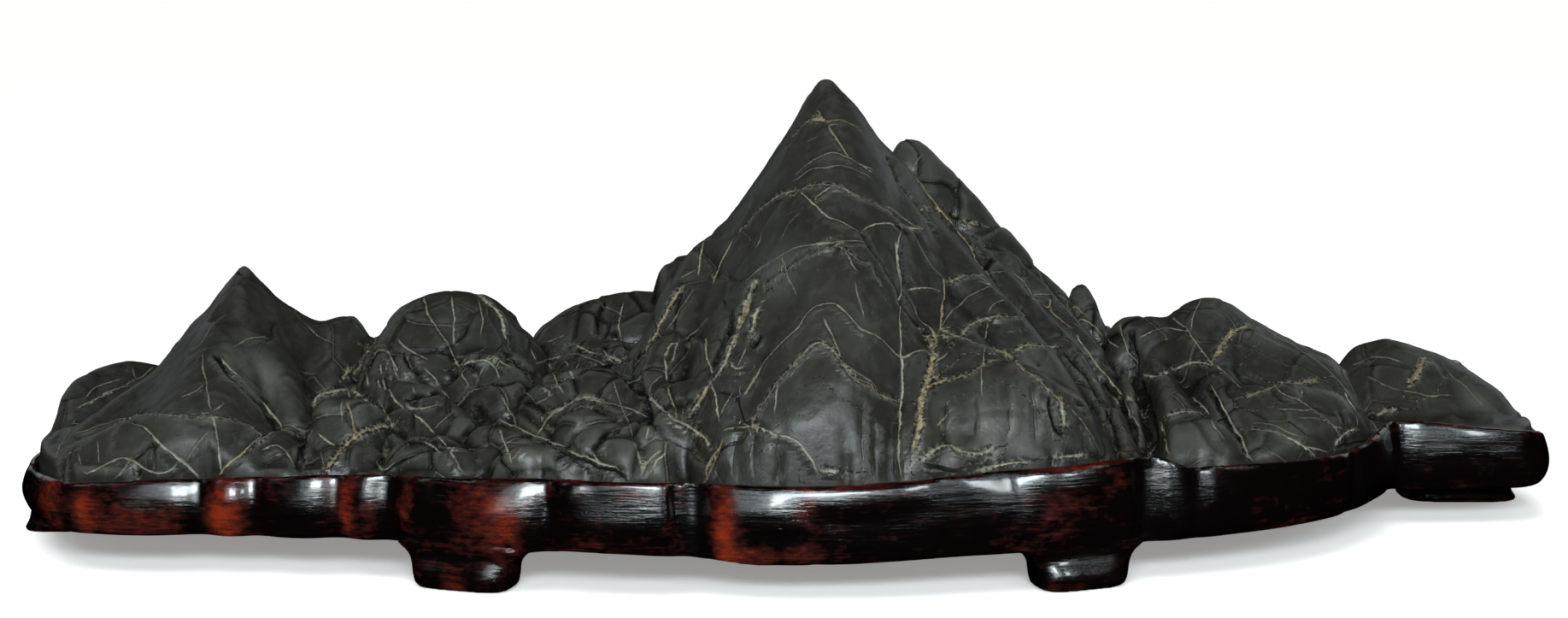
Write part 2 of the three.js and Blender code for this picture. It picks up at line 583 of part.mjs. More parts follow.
function footGeometry([, x, y, turn, length, depth]) {
  const angle = THREE.MathUtils.degToRad(turn);
  const rounding = 0.55;
  const points = [];
  for (const [height, drawnIn] of FOOT_PROFILE) {
    for (let i = 0; i < FOOT_SIDES; i += 1) {
      const around = (2 * Math.PI * (i + 0.5)) / FOOT_SIDES;
      const [c, s] = [Math.cos(around), Math.sin(around)];
      const px = (length / 2 - drawnIn) * Math.sign(c) * Math.abs(c) ** rounding;
      const py = (depth / 2 - drawnIn) * Math.sign(s) * Math.abs(s) ** rounding;
      points.push([
        x + px * Math.cos(angle) - py * Math.sin(angle),
        y + px * Math.sin(angle) + py * Math.cos(angle),
        height,
      ]);
    }
  }
  const top = (FOOT_PROFILE.length - 1) * FOOT_SIDES;
  const faces = lid(points.slice(0, FOOT_SIDES), 0, false);
  for (let start = 0; start < top; start += FOOT_SIDES) {
    faces.push(...band(start, start + FOOT_SIDES, FOOT_SIDES));
  }
  faces.push(...lid(points.slice(top), top, true));
  return closedMesh(points, faces);
}

// Joining solids.

const wasm = await Module();
wasm.setup();

function toSolid(geometry) {
  const merged = BufferGeometryUtils.mergeVertices(geometry);
  return new wasm.Manifold(new wasm.Mesh({
    numProp: 3,
    vertProperties: new Float32Array(merged.attributes.position.array),
    triVerts: new Uint32Array(merged.index.array),
  }));
}

function fromSolid(solid) {
  const mesh = solid.getMesh();
  const geometry = new THREE.BufferGeometry();
  geometry.setAttribute("position", new THREE.BufferAttribute(mesh.vertProperties, 3));
  geometry.setIndex(new THREE.BufferAttribute(mesh.triVerts, 1));
  return geometry;
}

function standGeometry() {
  const feet = FEET.map((foot) => toSolid(footGeometry(foot)));
  return fromSolid(feet.reduce((stand, foot) => stand.add(foot), toSolid(standBody())));
}

function part(name, geometry, finish) {
  const mesh = new THREE.Mesh(geometry, new THREE.MeshStandardMaterial({ ...finish, flatShading: true }));
  mesh.name = name;
  return mesh;
}

const group = new THREE.Group();
group.add(part("stone", stoneGeometry(), STONE_FINISH));
group.add(part("stand", standGeometry(), STAND_FINISH));

export default group;
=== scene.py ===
"""A suiseki: a black mountain-range stone resting in its carved, lacquered wooden stand.

The scene is in metres. Tables and settings are in millimetres, in the frame of the solid model:
+X runs right along the range, +Y to the back, +Z up, with the origin on the ground under the
middle of the stand. Veins and carving are held as the places where they show in the picture, and
are cast from the camera onto the surface.
"""

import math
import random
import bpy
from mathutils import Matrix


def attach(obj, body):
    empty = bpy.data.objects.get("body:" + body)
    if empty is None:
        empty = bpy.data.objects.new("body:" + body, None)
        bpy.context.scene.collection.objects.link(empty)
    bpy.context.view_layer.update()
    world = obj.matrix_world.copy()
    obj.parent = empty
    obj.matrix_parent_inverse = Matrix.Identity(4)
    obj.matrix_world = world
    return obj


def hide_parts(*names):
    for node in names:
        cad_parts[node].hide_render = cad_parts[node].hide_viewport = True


bl_info = {
    "name": "Suiseki on a carved stand",
    "version": (1, 0, 0),
    "blender": (4, 5, 0),
    "location": "View3D > Sidebar > Suiseki",
    "description": "Builds a mountain-range viewing stone, its lacquered stand and a plain studio",
    "category": "Add Mesh",
}

import bpy
import numpy as np
from bpy.props import FloatProperty, FloatVectorProperty, IntProperty, PointerProperty
from mathutils import Vector, kdtree, noise
from mathutils.bvhtree import BVHTree

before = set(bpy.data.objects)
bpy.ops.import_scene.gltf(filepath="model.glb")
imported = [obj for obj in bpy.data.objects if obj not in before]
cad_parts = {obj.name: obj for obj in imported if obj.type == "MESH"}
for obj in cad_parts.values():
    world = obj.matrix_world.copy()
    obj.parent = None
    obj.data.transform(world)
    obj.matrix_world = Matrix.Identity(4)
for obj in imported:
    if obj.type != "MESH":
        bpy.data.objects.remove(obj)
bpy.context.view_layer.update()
MM = 0.001

# The picture's frame in pixels, and the camera that took it: its sensor's width in millimetres,
# focal length in pixels, place in millimetres and how far it looks down.
PICTURE = (1835, 723)
SENSOR_WIDTH = 36
FOCAL_PIXELS = 2850
CAMERA_PLACE = (-4.5, -640, 143)
CAMERA_PITCH = math.radians(7.6)

# Stand: sizes as in the solid model, but with a finer wall and slightly softer notches.
FOOT_HEIGHT = 9.5
FLOOR_HEIGHT = 14.4
WALL_IN = 3.9
NOTCH_SOFTENING = 1.7
WALL_PROFILE = [
    # share of the wall's height, distance in from the widest line
    (0.0, 2.9), (0.02, 2.2), (0.07, 1.5), (0.14, 0.9), (0.23, 0.45), (0.33, 0.15), (0.43, 0.0),
    (0.52, 0.04), (0.6, 0.2), (0.68, 0.43), (0.76, 0.71), (0.83, 1.0), (0.89, 1.27), (0.94, 1.52),
    (0.975, 1.72), (1.0, 1.9), (1.0, 2.6), (0.995, 3.3), (0.97, 3.85),
]
LOWER_EDGE = [
    # along x at the front, how far the wall's lower edge is above or below its usual height
    (-66, 0.0), (-50, 1.3), (-28, 0.0), (-11, -1.4), (12, -0.8), (30, 0.0),
]

# The stand's widest line in plan, lobe by lobe and anticlockwise from the front left notch:
# x and y of the notch, how far the next lobe bulges out, and the rim's height at the notch.
LOBES = [
    (-183, -57, 2.2, 22.4), (-146.5, -60.5, 1.3, 24.1), (-133, -61.5, 1.8, 24.7),
    (-112.5, -63.5, 1.3, 25.6), (-100, -66.5, 3.4, 26.4), (-60, -80, 2.6, 28),
    (-26, -83.5, 1.6, 27.6), (5, -87.6, 2.2, 27.5), (50, -79.5, 3, 29.8), (83.5, -67.5, 0.6, 31.2),
    (96, -64.4, 3.4, 27.4), (141, -34, 1, 25.6), (158.5, -5.5, 1.6, 28.4), (197, -3, 1.4, 25.2),
    (204.2, 14, 0.7, 21.4), (202.8, 42, 3, 23), (176, 61, 3, 25), (140, 68, 4, 25.4),
    (100, 72, 3.4, 26), (66, 84.2, 2.5, 27.6), (24, 86.1, 1.8, 27), (-30, 85.8, 2.6, 27.8),
    (-76, 78, 3, 26.6), (-118, 70, 3.4, 26), (-158, 60, 3.4, 25), (-190, 40, 3, 22.6),
    (-204, 12, 0.8, 20), (-203, -18, 2, 19.8),
]

# How deep the gouge runs into the wall at each of those notches.
NOTCH_DEPTH = [
    1.2, 1.1, 1.0, 1.1, 1.6, 1.2, 1.8, 0.2, 0.1, 1.9, 0.9, 1.1, 1.2, 1.0, 0.7, 0.9, 1.1, 1.0, 0.9,
    1.1, 1.0, 1.0, 1.1, 1.0, 1.0, 1.0, 0.8, 1.2,
]

# Feet: middle of the foot in plan, turn in degrees, length and depth of its pad.
FEET = [
    (-80.5, -69.5, -18.5, 27, 15), (66, -68.6, 19.5, 25, 15), (-196.5, 0, 0, 16, 27),
    (185, 35, 0, 29, 23), (-73, 71.5, 10, 28, 15), (74, 73.5, -19, 27, 15),
]
FOOT_PROFILE = [
    # height, how much the foot is drawn in on its face and at its two sides
    (0.0, 1.7, 2.5), (0.3, 1.0, 1.8), (0.9, 0.4, 1.2), (1.9, 0.0, 0.9), (3.2, -0.1, 0.7),
    (4.4, 0.15, 0.5), (5.6, 0.7, 0.2), (6.8, 1.3, -0.3), (7.8, 1.7, -1.0), (8.7, 1.7, -1.9),
    (9.4, 1.5, -3.0), (10.1, 1.3, -4.0), (11.2, 1.6, -2.6), (12.6, 2.6, 0.5), (14.0, 5.0, 4.0),
]
FOOT_POINTS = 56
FOOT_ROUNDING = 0.55

# The two end feet lie beyond this distance from the middle. How far their pads splay out, and
# how high up the foot that begins.
END_FEET_BEYOND = 150
END_SPLAY = 3.0
END_SPLAY_HEIGHT = 2.4

# The notch behind from which length along the wall is measured.
WALL_START = (-118, 70)

# Share of the faces that is kept where the stand is flat and hidden.
HIDDEN_FACES_KEPT = 0.03

# Stone: its side starts this far in from the stand's widest line, and rises from the seat.
STONE_IN = 4.7
SEAT_HEIGHT = 15.3
SIDE_HEIGHT = 19
SIDE_RISE = 9.5
SIDE_POWER = 0.7
SIDE_BLEND = 1.6
LOWEST_GROUND = 26
CREASE_BLEND = 0.5
CREASE_LIFT = 0.1

# A crest that falls by less than this power is sharp, and is blunted over this share of its reach.
SHARP_POWER = 1.3
TIP_BLUNTNESS = 0.145

# Flutes worn into the foot of the stone's side: spacing round it, depth, and how narrow they are
# against their spacing.
FLUTE_SPACING = 20
FLUTE_DEPTH = 1.6
FLUTE_WIDTH = 0.07

# The two peaks in plan, whose tips stay as they are where hands have worn the rest smooth, the
# square of how far round them that holds, and how much a round of wear takes off elsewhere.
PEAKS = [(-149.5, 10), (6.5, 3)]
PEAK_SPREAD = 90
WEAR_RATE = 0.7

# The cleft beside the mounds to the right: where along x, and half its width.
CLEFT = (88, 7)

# Facets that the stone splits into: spacing, how many places are tried for one, how far their
# edges bend and over what length, slope, and how wide and how deep the crease between two of
# them is. PLAN_HALF is half the stone's length and depth.
PLAN_HALF = (200, 84)
FACET_SIZE = 13
FACET_TRIES = 6000
FACET_BEND = 6
FACET_WAVE = 24
FACET_TILT = 0.1
FACET_EDGE = 0.7
FACET_CREASE = 0.45

# The stone's mounds and ridges: crest as [x, y, z] points, reach to the side, front and back,
# the fall at that reach, and the power of the distance by which it falls: near 1 is a sharp
# ridge, 2 a round mound and more a bluff. Eight of them and the last gorge follow the picture
# more closely than in the solid model.
MOUNDS = [
    # the left end and the left peak
    ([(-192, 12, 39.5), (-185.5, 20, 40.5), (-178, 26, 38.5)], (13, 30, 24), 20, 2),
    ([(-189, -16, 29), (-182.5, -20, 32)], (14, 24, 18), 16, 2.2),
    ([(-149.5, 10, 68)], (12, 15, 12), 14, 1.15),
    ([(-160, 8, 56), (-163, 4, 51), (-166.5, 2, 46.5)], (9, 18, 14), 13, 1.8),
    ([(-149.5, 9, 66), (-159, 3, 53), (-169, -4, 43), (-180, -14, 35), (-186, -24, 29.5)],
     (14, 44, 14), 20, 1.25),
    ([(-149.5, 8, 65.5), (-142, -8, 53.5), (-132, -27, 41.5), (-126, -38, 34.5)],
     (10, 13, 16), 13, 1.9),
    ([(-149.5, 10, 67), (-139, 13, 58), (-131, 14, 53.5)], (14, 30, 16), 20, 1.3),
    ([(-129, 16, 53), (-124.5, 17, 54.5), (-121.5, 18, 52)], (8, 26, 14), 16, 1.8),
    ([(-178, -38, 30), (-166.5, -40, 35), (-152, -42, 35.5), (-139, -44, 35)],
     (12, 15, 14), 11, 2.5),
    ([(-176, -48, 25), (-166.5, -49, 26)], (9, 8, 10), 9, 2.2),
    ([(-152.5, -49, 26), (-145.5, -49, 25)], (9, 8, 10), 9, 2.2),
    ([(-129.5, -46, 32.5), (-125, -48, 30.5)], (9, 10, 10), 10, 2.2),
    # the second dome and the foothills before it
    ([(-103, 22, 57.8), (-97, 25, 60), (-90, 26, 58.5)], (19, 34, 18), 24, 2.2),
    ([(-110.5, 16, 52.5), (-111.5, 4, 47.5)], (12, 20, 14), 16, 2),
    ([(-84, 27, 53.5), (-79, 28, 49.5)], (11, 24, 14), 16, 2),
    ([(-95, 20, 59), (-91, 6, 48)], (9, 14, 12), 10, 1.5),
    ([(-118.5, -35, 39.5), (-112.5, -35, 40)], (10, 13, 11), 13, 2.4),
    ([(-115, -51, 30.5), (-107.5, -51, 30)], (9, 9, 10), 10, 2.2),
    ([(-107, -16, 42), (-95, -30, 41), (-84.5, -44, 37.5)], (12, 18, 14), 15, 1.8),
    ([(-93.5, -55, 34), (-84.5, -60, 33)], (12, 10, 12), 12, 2.2),
    ([(-85.5, 0, 47), (-76.5, -3, 46.5)], (11, 16, 12), 13, 2),
    ([(-81.5, -26, 41.5), (-73.5, -28, 43)], (12, 14, 12), 13, 2.2),
    ([(-75, -55, 36), (-68, -59, 35.5)], (12, 12, 14), 13, 2.4),
    ([(-61.5, -33, 46), (-51, -36, 47.5), (-43.5, -40, 45)], (14, 20, 13), 17, 2.3),
    ([(-52, -52, 41.5), (-43.5, -56, 38.5)], (12, 14, 12), 13, 2.2),
    ([(-64.5, -69, 34), (-58, -69, 34.5)], (12, 8, 10), 12, 2.2),
    ([(-49, -67, 38), (-43.5, -69, 36)], (11, 8, 10), 12, 2.2),
    ([(-36.5, -66, 38), (-35, -69, 34)], (7, 8, 10), 12, 2),
    # the far ridge between the second dome and the main peak
    ([(-66, 48, 52), (-57.5, 50, 54.5), (-46.5, 50, 56), (-35.5, 48, 55.5)], (12, 26, 20), 20, 2),
    ([(-69.5, 44, 49)], (8, 14, 12), 12, 2.2),
    ([(-58, 22, 46.5), (-45.5, 10, 47.5)], (14, 22, 16), 16, 1.8),
    # the main peak
    ([(6.5, 3, 118.5)], (27.5, 34, 26), 40, 1.06),
    ([(7, -1, 111), (7, -17, 97.5), (8.5, -36, 84)], (22, 26, 22), 28, 1.9),
    ([(-8.5, 1, 95), (-15.5, 0, 86), (-23, 0, 79), (-26.5, 0, 75)], (6, 26, 20), 22, 1.5),
    ([(-22.5, -2, 78), (-27.5, -8, 71), (-32.5, -22, 57.5), (-37, -44, 45.5)],
     (15, 22, 16), 20, 1.7),
    ([(-12.5, -26, 68), (-19, -42, 55), (-24.5, -58, 42.5)], (13, 16, 16), 16, 2.1),
    ([(-30, -50, 47.5), (-31, -60, 42)], (14, 16, 14), 16, 2),
    ([(-28.5, 6, 71.5), (-35.5, 6, 69.5)], (4, 14, 10), 12, 2.6),
    ([(28.5, 25, 101.5), (32, 26, 100.5), (38, 27, 94.5), (48, 28, 85), (55, 29, 76.5),
      (62, 29, 69.5), (69.5, 30, 61.5)], (9, 13, 14), 15, 1.5),
    ([(8, 3, 117.2), (10.7, 3, 115), (14.1, 3, 110.8), (18.6, 3.5, 104.3), (24.7, 5, 98.6)],
     (14, 34, 20), 24, 1.4),
    ([(28, 4, 90.5), (38.5, -6, 78), (50, -18, 65), (62, -30, 50.5), (71, -42, 35.5)],
     (13, 26, 16), 22, 1.8),
    ([(41.5, 8, 80), (57, -2, 64), (70, -16, 48), (80, -38, 30)], (11, 14, 13), 14, 2),
    ([(56.5, 18, 72), (70, 12, 58), (80.5, 0, 44), (86.5, -22, 31.5), (87, -36, 26)],
     (8, 12, 12), 13, 1.6),
    ([(9, -44, 77.5), (4.5, -55, 65.5), (0, -66, 50.5)], (20, 20, 22), 20, 2.4),
    ([(-7, -48, 67.5), (-14, -58, 55), (-18, -68, 44.5)], (10, 12, 14), 13, 2.2),
    ([(5.5, -58, 66), (6, -66, 56.5)], (16, 14, 16), 16, 2.3),
    ([(3, -67, 57), (4.5, -73, 43), (6, -76, 27.5)], (14, 10, 14), 14, 2.4),
    ([(18.5, -70, 45), (19, -75, 30.5)], (9, 8, 12), 12, 2.2),
    ([(-14.5, -72, 36.5), (-7, -73, 37)], (11, 8, 12), 11, 2.4),
    ([(28, -56, 56.5), (27, -69, 42.5)], (9, 12, 14), 13, 2.2),
    ([(33.5, -34, 64.5), (40, -48, 57)], (16, 18, 18), 17, 2.2),
    ([(37, -60, 48), (49.5, -58, 52.5), (60, -56, 47)], (14, 14, 16), 16, 2.5),
    ([(34.5, -73, 35), (44.5, -73, 36), (56, -69, 34.5)], (12, 8, 14), 12, 2.6),
    # the mounds to the right
    ([(78.5, 35, 59.5)], (8, 14, 10), 12, 1.7),
    ([(90, 20, 52), (95.5, 20, 53), (101.5, 20, 52)], (11, 28, 16), 18, 1.9),
    ([(91.5, -6, 46.5), (93, -24, 41)], (12, 20, 14), 14, 2),
    ([(106.5, 20, 57.5), (111, 20, 58.5), (116.5, 20, 57)], (11, 30, 18), 20, 1.9),
    ([(110.5, 16, 57.5), (110, -8, 45.5)], (10, 22, 16), 16, 1.9),
    ([(119.5, 19, 54.5), (131, 15, 48.5), (142, 14, 44)], (13, 40, 18), 24, 1.7),
    ([(110.5, -22, 41), (124, -20, 41), (136, -14, 38.5)], (13, 22, 16), 14, 2),
    ([(94.5, -45, 35.5), (99.5, -46, 36.5)], (12, 12, 14), 14, 2.4),
    ([(113.5, -40, 32), (127.5, -34, 32.5)], (13, 14, 14), 13, 2.2),
    ([(137.5, -20, 31.5), (144, -18, 27.5)], (10, 12, 12), 12, 2.2),
    ([(159, 40, 42.5), (165.5, 40, 44), (173, 39, 42), (184, 38, 37.5), (192, 34, 32.5)],
     (12, 32, 16), 20, 2),
    ([(191, 27, 31), (195.5, 22, 26)], (11, 18, 18), 15, 2.2),
    # the back, which falls in spurs like those of the front
    ([(6, 8, 110), (3, 28, 82), (-2, 48, 56), (-6, 64, 38)], (15, 18, 16), 20, 1.8),
    ([(32, 30, 96), (44, 44, 68), (54, 58, 44)], (12, 16, 15), 17, 1.7),
    ([(-22, 4, 77), (-30, 28, 60), (-38, 50, 46)], (14, 18, 18), 18, 1.8),
    ([(66, 34, 58), (78, 54, 38)], (13, 16, 14), 14, 2),
    ([(18, 62, 42), (32, 70, 36)], (14, 16, 12), 13, 2.2),
    ([(-58, 60, 42), (-30, 70, 38)], (13, 16, 13), 13, 2.2),
    ([(-98, 28, 57), (-102, 48, 40), (-104, 58, 30)], (14, 18, 14), 16, 2),
    ([(-149, 12, 65), (-152, 30, 45), (-154, 44, 30)], (11, 15, 13), 15, 1.6),
    ([(-132, 42, 34), (-122, 56, 30)], (13, 16, 12), 12, 2.2),
    ([(-188, 24, 34), (-176, 38, 28)], (12, 16, 12), 12, 2.2),
    ([(92, 26, 49), (94, 46, 36), (96, 58, 28)], (12, 16, 14), 14, 2),
    ([(111, 22, 56), (116, 42, 40), (120, 56, 28)], (12, 16, 14), 15, 1.9),
    ([(138, 30, 39), (146, 50, 28)], (13, 16, 14), 13, 2.1),
    ([(168, 42, 40), (172, 52, 28)], (13, 16, 12), 13, 2.1),
]

# Gorges cut into the mounds: line of [x, y] points, depth, half width.
GORGES = [
    ([(88, 4), (89, -14), (88.5, -32), (87, -50)], 11, 2.2),
    ([(-153.5, -6), (-143, -20), (-130.5, -38)], 3, 2.4),
    ([(-28.5, -70), (-21, -80)], 8, 4),
    ([(-117.5, 14), (-119, -6), (-125.5, -40)], 4, 3),
    ([(17, 15), (28, 15.5), (40, 14), (52, 11), (62, 7)], 5, 3.5),
]

# What a line on the stone is, all in millimetres but the strength: layer, half width, strength,
# depth of its groove and height of the lip that stands below it. Its groove and its lip reach as
# far from it as LINE_REACH and LIP_REACH. Pale lines closer than LAYER_GAP need different layers.
LINE_KINDS = {
    "pale": ("pale", 0.22, 0.85, 0.25, 0.25),
    "thick": ("pale", 0.33, 1.0, 0.4, 0.5),
    "thin": ("pale", 0.17, 0.5, 0.1, 0.0),
    "rough": ("pale", 0.34, 0.85, 0.4, 0.9),
    "ochre": ("ochre", 0.25, 0.9, 0.3, 0.2),
    "bold": ("ochre", 0.37, 1.0, 0.3, 0.5),
    "broad": ("ochre", 0.55, 1.0, 0.4, 0.7),
    "crease": ("dark", 0.42, 1.0, 1.3, 0.6),
    "fold": ("dark", 0.34, 0.22, 0.6, 0.4),
    "chasm": ("dark", 0.8, 1.0, 1.7, 0.0),
}
LINE_REACH = 2.6
LIP_REACH = 6.0
LAYER_GAP = 3.2

# Lines of the stone's front, in picture pixels: spacing of the points along them, how far they
# wander from their drawn course, and over what length they do. A line breaks off where the
# surface under it jumps by more than LINE_BREAK millimetres.
LINE_SPACING = 5
LINE_WANDER = 2.6
LINE_WAVE = 20
LINE_BREAK = 6
LEFT_PEAK_LINES = [
    ("thin", "262,368 246,386 234,403 223,409"), ("thin", "235,413 240,441 246,479"),
    ("pale", "213,464 226,459 238,448"), ("thin", "247,480 262,471"),
    ("crease", "250,414 264,430 277,445 287,456 297,466 310,483 325,505"),
    ("pale", "258,417 273,431 286,446 296,457 306,467 318,484 330,500"),
    ("thin", "90,477 153,448 190,424"), ("thin", "156,429 159,443"),
    ("rough", "148,491 161,484 193,486 231,488 248,488 282,492 294,501 307,508"),
    ("rough", "148,491 131,499 108,512 90,527"), ("pale", "90,506 105,503 120,495 148,488"),
    ("ochre", "307,509 292,522 276,537 261,549 256,557"),
    ("pale", "150,492 166,497 183,511 196,526 216,540 231,559"),
    ("pale", "248,487 254,511 257,535 258,552"),
    ("pale", "100,555 121,544 138,536 153,537 165,545 183,556 193,555 206,544"),
    ("pale", "153,537 140,552 135,559"), ("crease", "155,539 183,516"),
    ("crease", "181,517 180,549"), ("thin", "218,539 231,519 244,506"),
    ("thin", "93,532 95,545"), ("thin", "114,517 116,540"),
    ("thin", "272,406 292,395 311,393"), ("thin", "340,352 352,372 371,392 392,404"),
    ("thin", "98,466 112,452 128,446 146,443"), ("thin", "104,474 118,460 134,455 150,452"),
    ("thin", "66,536 73,515 82,500 90,492"),
]
FOOTHILL_LINES = [
    ("rough", "367,476 375,461 388,456 403,456 419,460 433,468 444,479 456,492"),
    ("ochre", "407,459 408,478 413,499 419,516"), ("bold", "401,444 409,433"),
    ("bold", "413,436 423,428 426,413 433,406"), ("pale", "428,436 431,449"),
    ("pale", "439,436 444,454"), ("pale", "446,426 449,458"), ("pale", "459,428 466,443"),
    ("pale", "453,410 466,436"), ("pale", "466,396 476,410 501,421"),
    ("pale", "497,431 512,446 526,468"),
    ("pale", "497,348 499,363 509,381 527,403 532,421 539,429"),
    ("pale", "531,347 532,386 532,403"), ("thin", "560,352 566,372 562,392"),
    ("rough", "537,429 547,421 560,410"), ("pale", "537,433 552,456"),
    ("chasm", "474,468 487,461 506,461 521,451 527,443 537,441"),
    ("thick", "474,474 486,479 499,476 511,474"),
    ("pale", "486,484 506,504 524,522 532,537 544,554"), ("pale", "454,456 466,471 472,479"),
    ("thin", "443,469 456,492"), ("bold", "380,550 399,526 408,517 429,504 456,496"),
    ("pale", "509,504 517,492 530,482"), ("crease", "446,555 462,544 479,534 499,527 520,526"),
    ("pale", "441,540 449,552 461,542"), ("pale", "496,516 509,524 515,531"),
    ("pale", "527,526 537,522"), ("chasm", "353,514 353,554"), ("pale", "356,519 366,502"),
    ("pale", "371,507 383,514 393,522"), ("thin", "375,531 381,550"),
    ("pale", "307,526 321,521 333,526 345,544"),
    ("rough", "300,519 310,509 327,504 341,506 351,511"),
    ("rough", "552,342 578,360 587,375 593,399"), ("pale", "540,429 548,415 568,407"),
    ("pale", "540,433 546,425 564,421 578,427 585,443"), ("thin", "566,427 556,453"),
    ("pale", "578,417 597,429"), ("pale", "621,409 627,421"),
    ("chasm", "651,447 669,439 690,429 710,427 730,441 748,453 757,472 759,498"),
    ("pale", "643,425 651,447 659,459"), ("pale", "661,423 669,439"),
    ("thin", "621,425 643,421 659,415 678,415 708,425"),
    ("rough", "643,484 663,476 678,466 698,466 708,468"),
    ("pale", "625,508 643,488 667,474 688,468 718,472 740,478 755,486"),
    ("thin", "607,449 625,468"), ("pale", "625,449 645,459"), ("pale", "625,472 647,460"),
    ("pale", "589,464 599,488 603,502"),
    ("crease", "582,494 605,504 629,514 663,528 698,544 718,551 734,560"),
    ("pale", "584,491 607,501 631,511 665,525 700,541 720,548"),
    ("crease", "540,510 560,498 582,492"), ("pale", "587,502 597,542"), ("thin", "591,516 611,518"),
    ("pale", "611,520 597,540"), ("crease", "692,528 708,508 726,498 738,498"),
    ("pale", "692,530 702,544"), ("thin", "718,447 728,476 738,502 748,538 750,553"),
    ("thick", "754,457 767,472 783,486 807,498 823,512 831,520"), ("pale", "759,500 757,514"),
    ("pale", "750,553 757,538 773,526"), ("pale", "763,551 769,538 779,528"),
    ("ochre", "823,553 829,538 846,518"), ("bold", "759,403 773,379 781,362 797,336"),
    ("pale", "781,383 797,358 813,340"), ("pale", "779,417 785,403 797,399 791,412 785,425"),
    ("pale", "778,419 780,441 785,464 793,488"), ("thin", "759,457 763,445 775,440"),
    ("thin", "797,399 821,379"), ("thick", "664,401 680,406 698,415"),
    ("thick", "710,414 722,420 734,428"), ("pale", "704,408 716,424"), ("thin", "640,400 660,392"),
    ("thin", "700,352 716,362 730,372"), ("thin", "470,430 480,444 484,458"),
    ("crease", "708,352 698,368 700,392 708,408"), ("pale", "730,356 722,374 728,396"),
    ("crease", "716,388 726,400 738,410 750,420"),
    ("crease", "470,412 480,428 492,440"), ("crease", "560,452 575,446 592,452 604,446"),
    ("crease", "600,420 612,432 622,446"), ("crease", "612,470 628,476 640,486"),
    ("crease", "556,470 566,486 570,500"), ("thin", "402,470 398,482 400,494"),
    ("crease", "458,500 470,512 486,520"), ("crease", "648,540 662,530 680,530"),
]
MAIN_PEAK_LINES = [
    ("bold", "967,141 958,138 951,139 939,148 930,159"), ("ochre", "965,143 960,134 956,128"),
    ("ochre", "967,141 976,137 994,144 1006,150"), ("ochre", "967,144 978,160 994,184"),
    ("thin", "944,165 957,160"), ("pale", "932,203 950,187 967,180 980,178 994,184 1021,203"),
    ("thin", "928,212 944,201 962,196 982,193 1003,198 1019,209"), ("pale", "1003,192 1021,198"),
    ("rough", "869,269 880,255 896,239 912,226 930,223"),
    ("rough", "935,223 950,217 967,216 985,217 998,226 1016,235 1035,244 1060,267 1078,268"),
    ("pale", "1037,241 1057,253 1076,266"),
    ("pale", "935,225 951,237 964,248 982,259 1000,269 1014,282 1021,292"),
    ("pale", "953,232 966,223 982,217"), ("thin", "914,278 923,259 935,248"),
    ("thin", "884,289 891,273"), ("pale", "872,328 895,311 923,292 950,284 978,284 998,282 1017,287"),
    ("crease", "893,335 913,319 937,302 961,289 980,286"),
    ("rough", "889,338 909,322 934,305 958,292 978,289"),
    ("thick", "980,285 994,298 1017,309 1030,330"), ("pale", "982,287 1005,319"),
    ("crease", "1005,272 1018,289 1030,306 1043,327 1053,350 1062,371 1087,393"),
    ("pale", "1009,269 1026,260 1041,260 1055,271"), ("pale", "1048,280 1050,303 1055,330"),
    ("pale", "1057,270 1049,282 1049,306 1054,331 1054,400"),
    ("ochre", "834,332 841,311 856,280"), ("pale", "818,321 821,285 842,259"),
    ("pale", "796,325 814,317"), ("pale", "800,398 819,382 830,369"),
    ("pale", "826,395 828,424 834,439"),
    ("rough", "808,485 821,467 835,446 850,421 861,396 874,359 880,337 888,324"),
    ("broad", "815,477 829,456 843,434"), ("broad", "857,409 868,379 876,354"),
    ("crease", "832,432 843,412 852,390 860,372"),
    ("rough", "880,391 884,369 889,358 896,350"), ("crease", "880,409 889,391"),
    ("pale", "863,428 874,408"), ("pale", "854,422 861,433 871,428"),
    ("pale", "880,450 891,428 906,408 924,391 941,374 952,358 972,353 985,359 1000,374 1006,387 "
             "1020,388 1037,402 1055,419 1065,415 1081,407 1089,414"),
    ("pale", "963,372 974,389 983,417"),
    ("rough", "880,494 891,476 906,454 917,439 933,422 946,406 963,399 974,408 983,422 994,439 "
              "1012,452 1029,462 1051,471"),
    ("pale", "986,422 1005,436 1025,450 1029,457"), ("pale", "835,448 841,491"),
    ("pale", "843,483 858,459"), ("pale", "884,439 869,465"),
    ("pale", "848,504 861,500 884,498 898,504 919,511 937,518 946,531 957,552"),
    ("fold", "884,506 880,530 882,556"), ("fold", "862,510 856,534 858,556"),
    ("fold", "905,514 912,536 910,556"),
    ("bold", "879,498 889,501"), ("thin", "908,483 913,450"), ("ochre", "823,565 832,548 847,513"),
    ("thick", "963,550 983,552"),
    ("pale", "1054,331 1054,396 1056,438 1053,472 1054,489 1051,529 1055,558"),
    ("ochre", "1053,333 1067,355 1077,374 1096,391 1097,402"),
    ("broad", "1081,391 1087,393 1094,403 1091,424 1086,446 1079,464 1077,486 1070,524"),
    ("pale", "1063,340 1074,334 1087,338 1101,341"), ("pale", "1066,324 1070,329"),
    ("fold", "1025,490 1026,558"), ("fold", "1043,500 1046,558"), ("fold", "1012,470 1008,510 1011,556"),
    ("thin", "915,300 930,345"), ("thin", "1000,330 1012,372"),
]
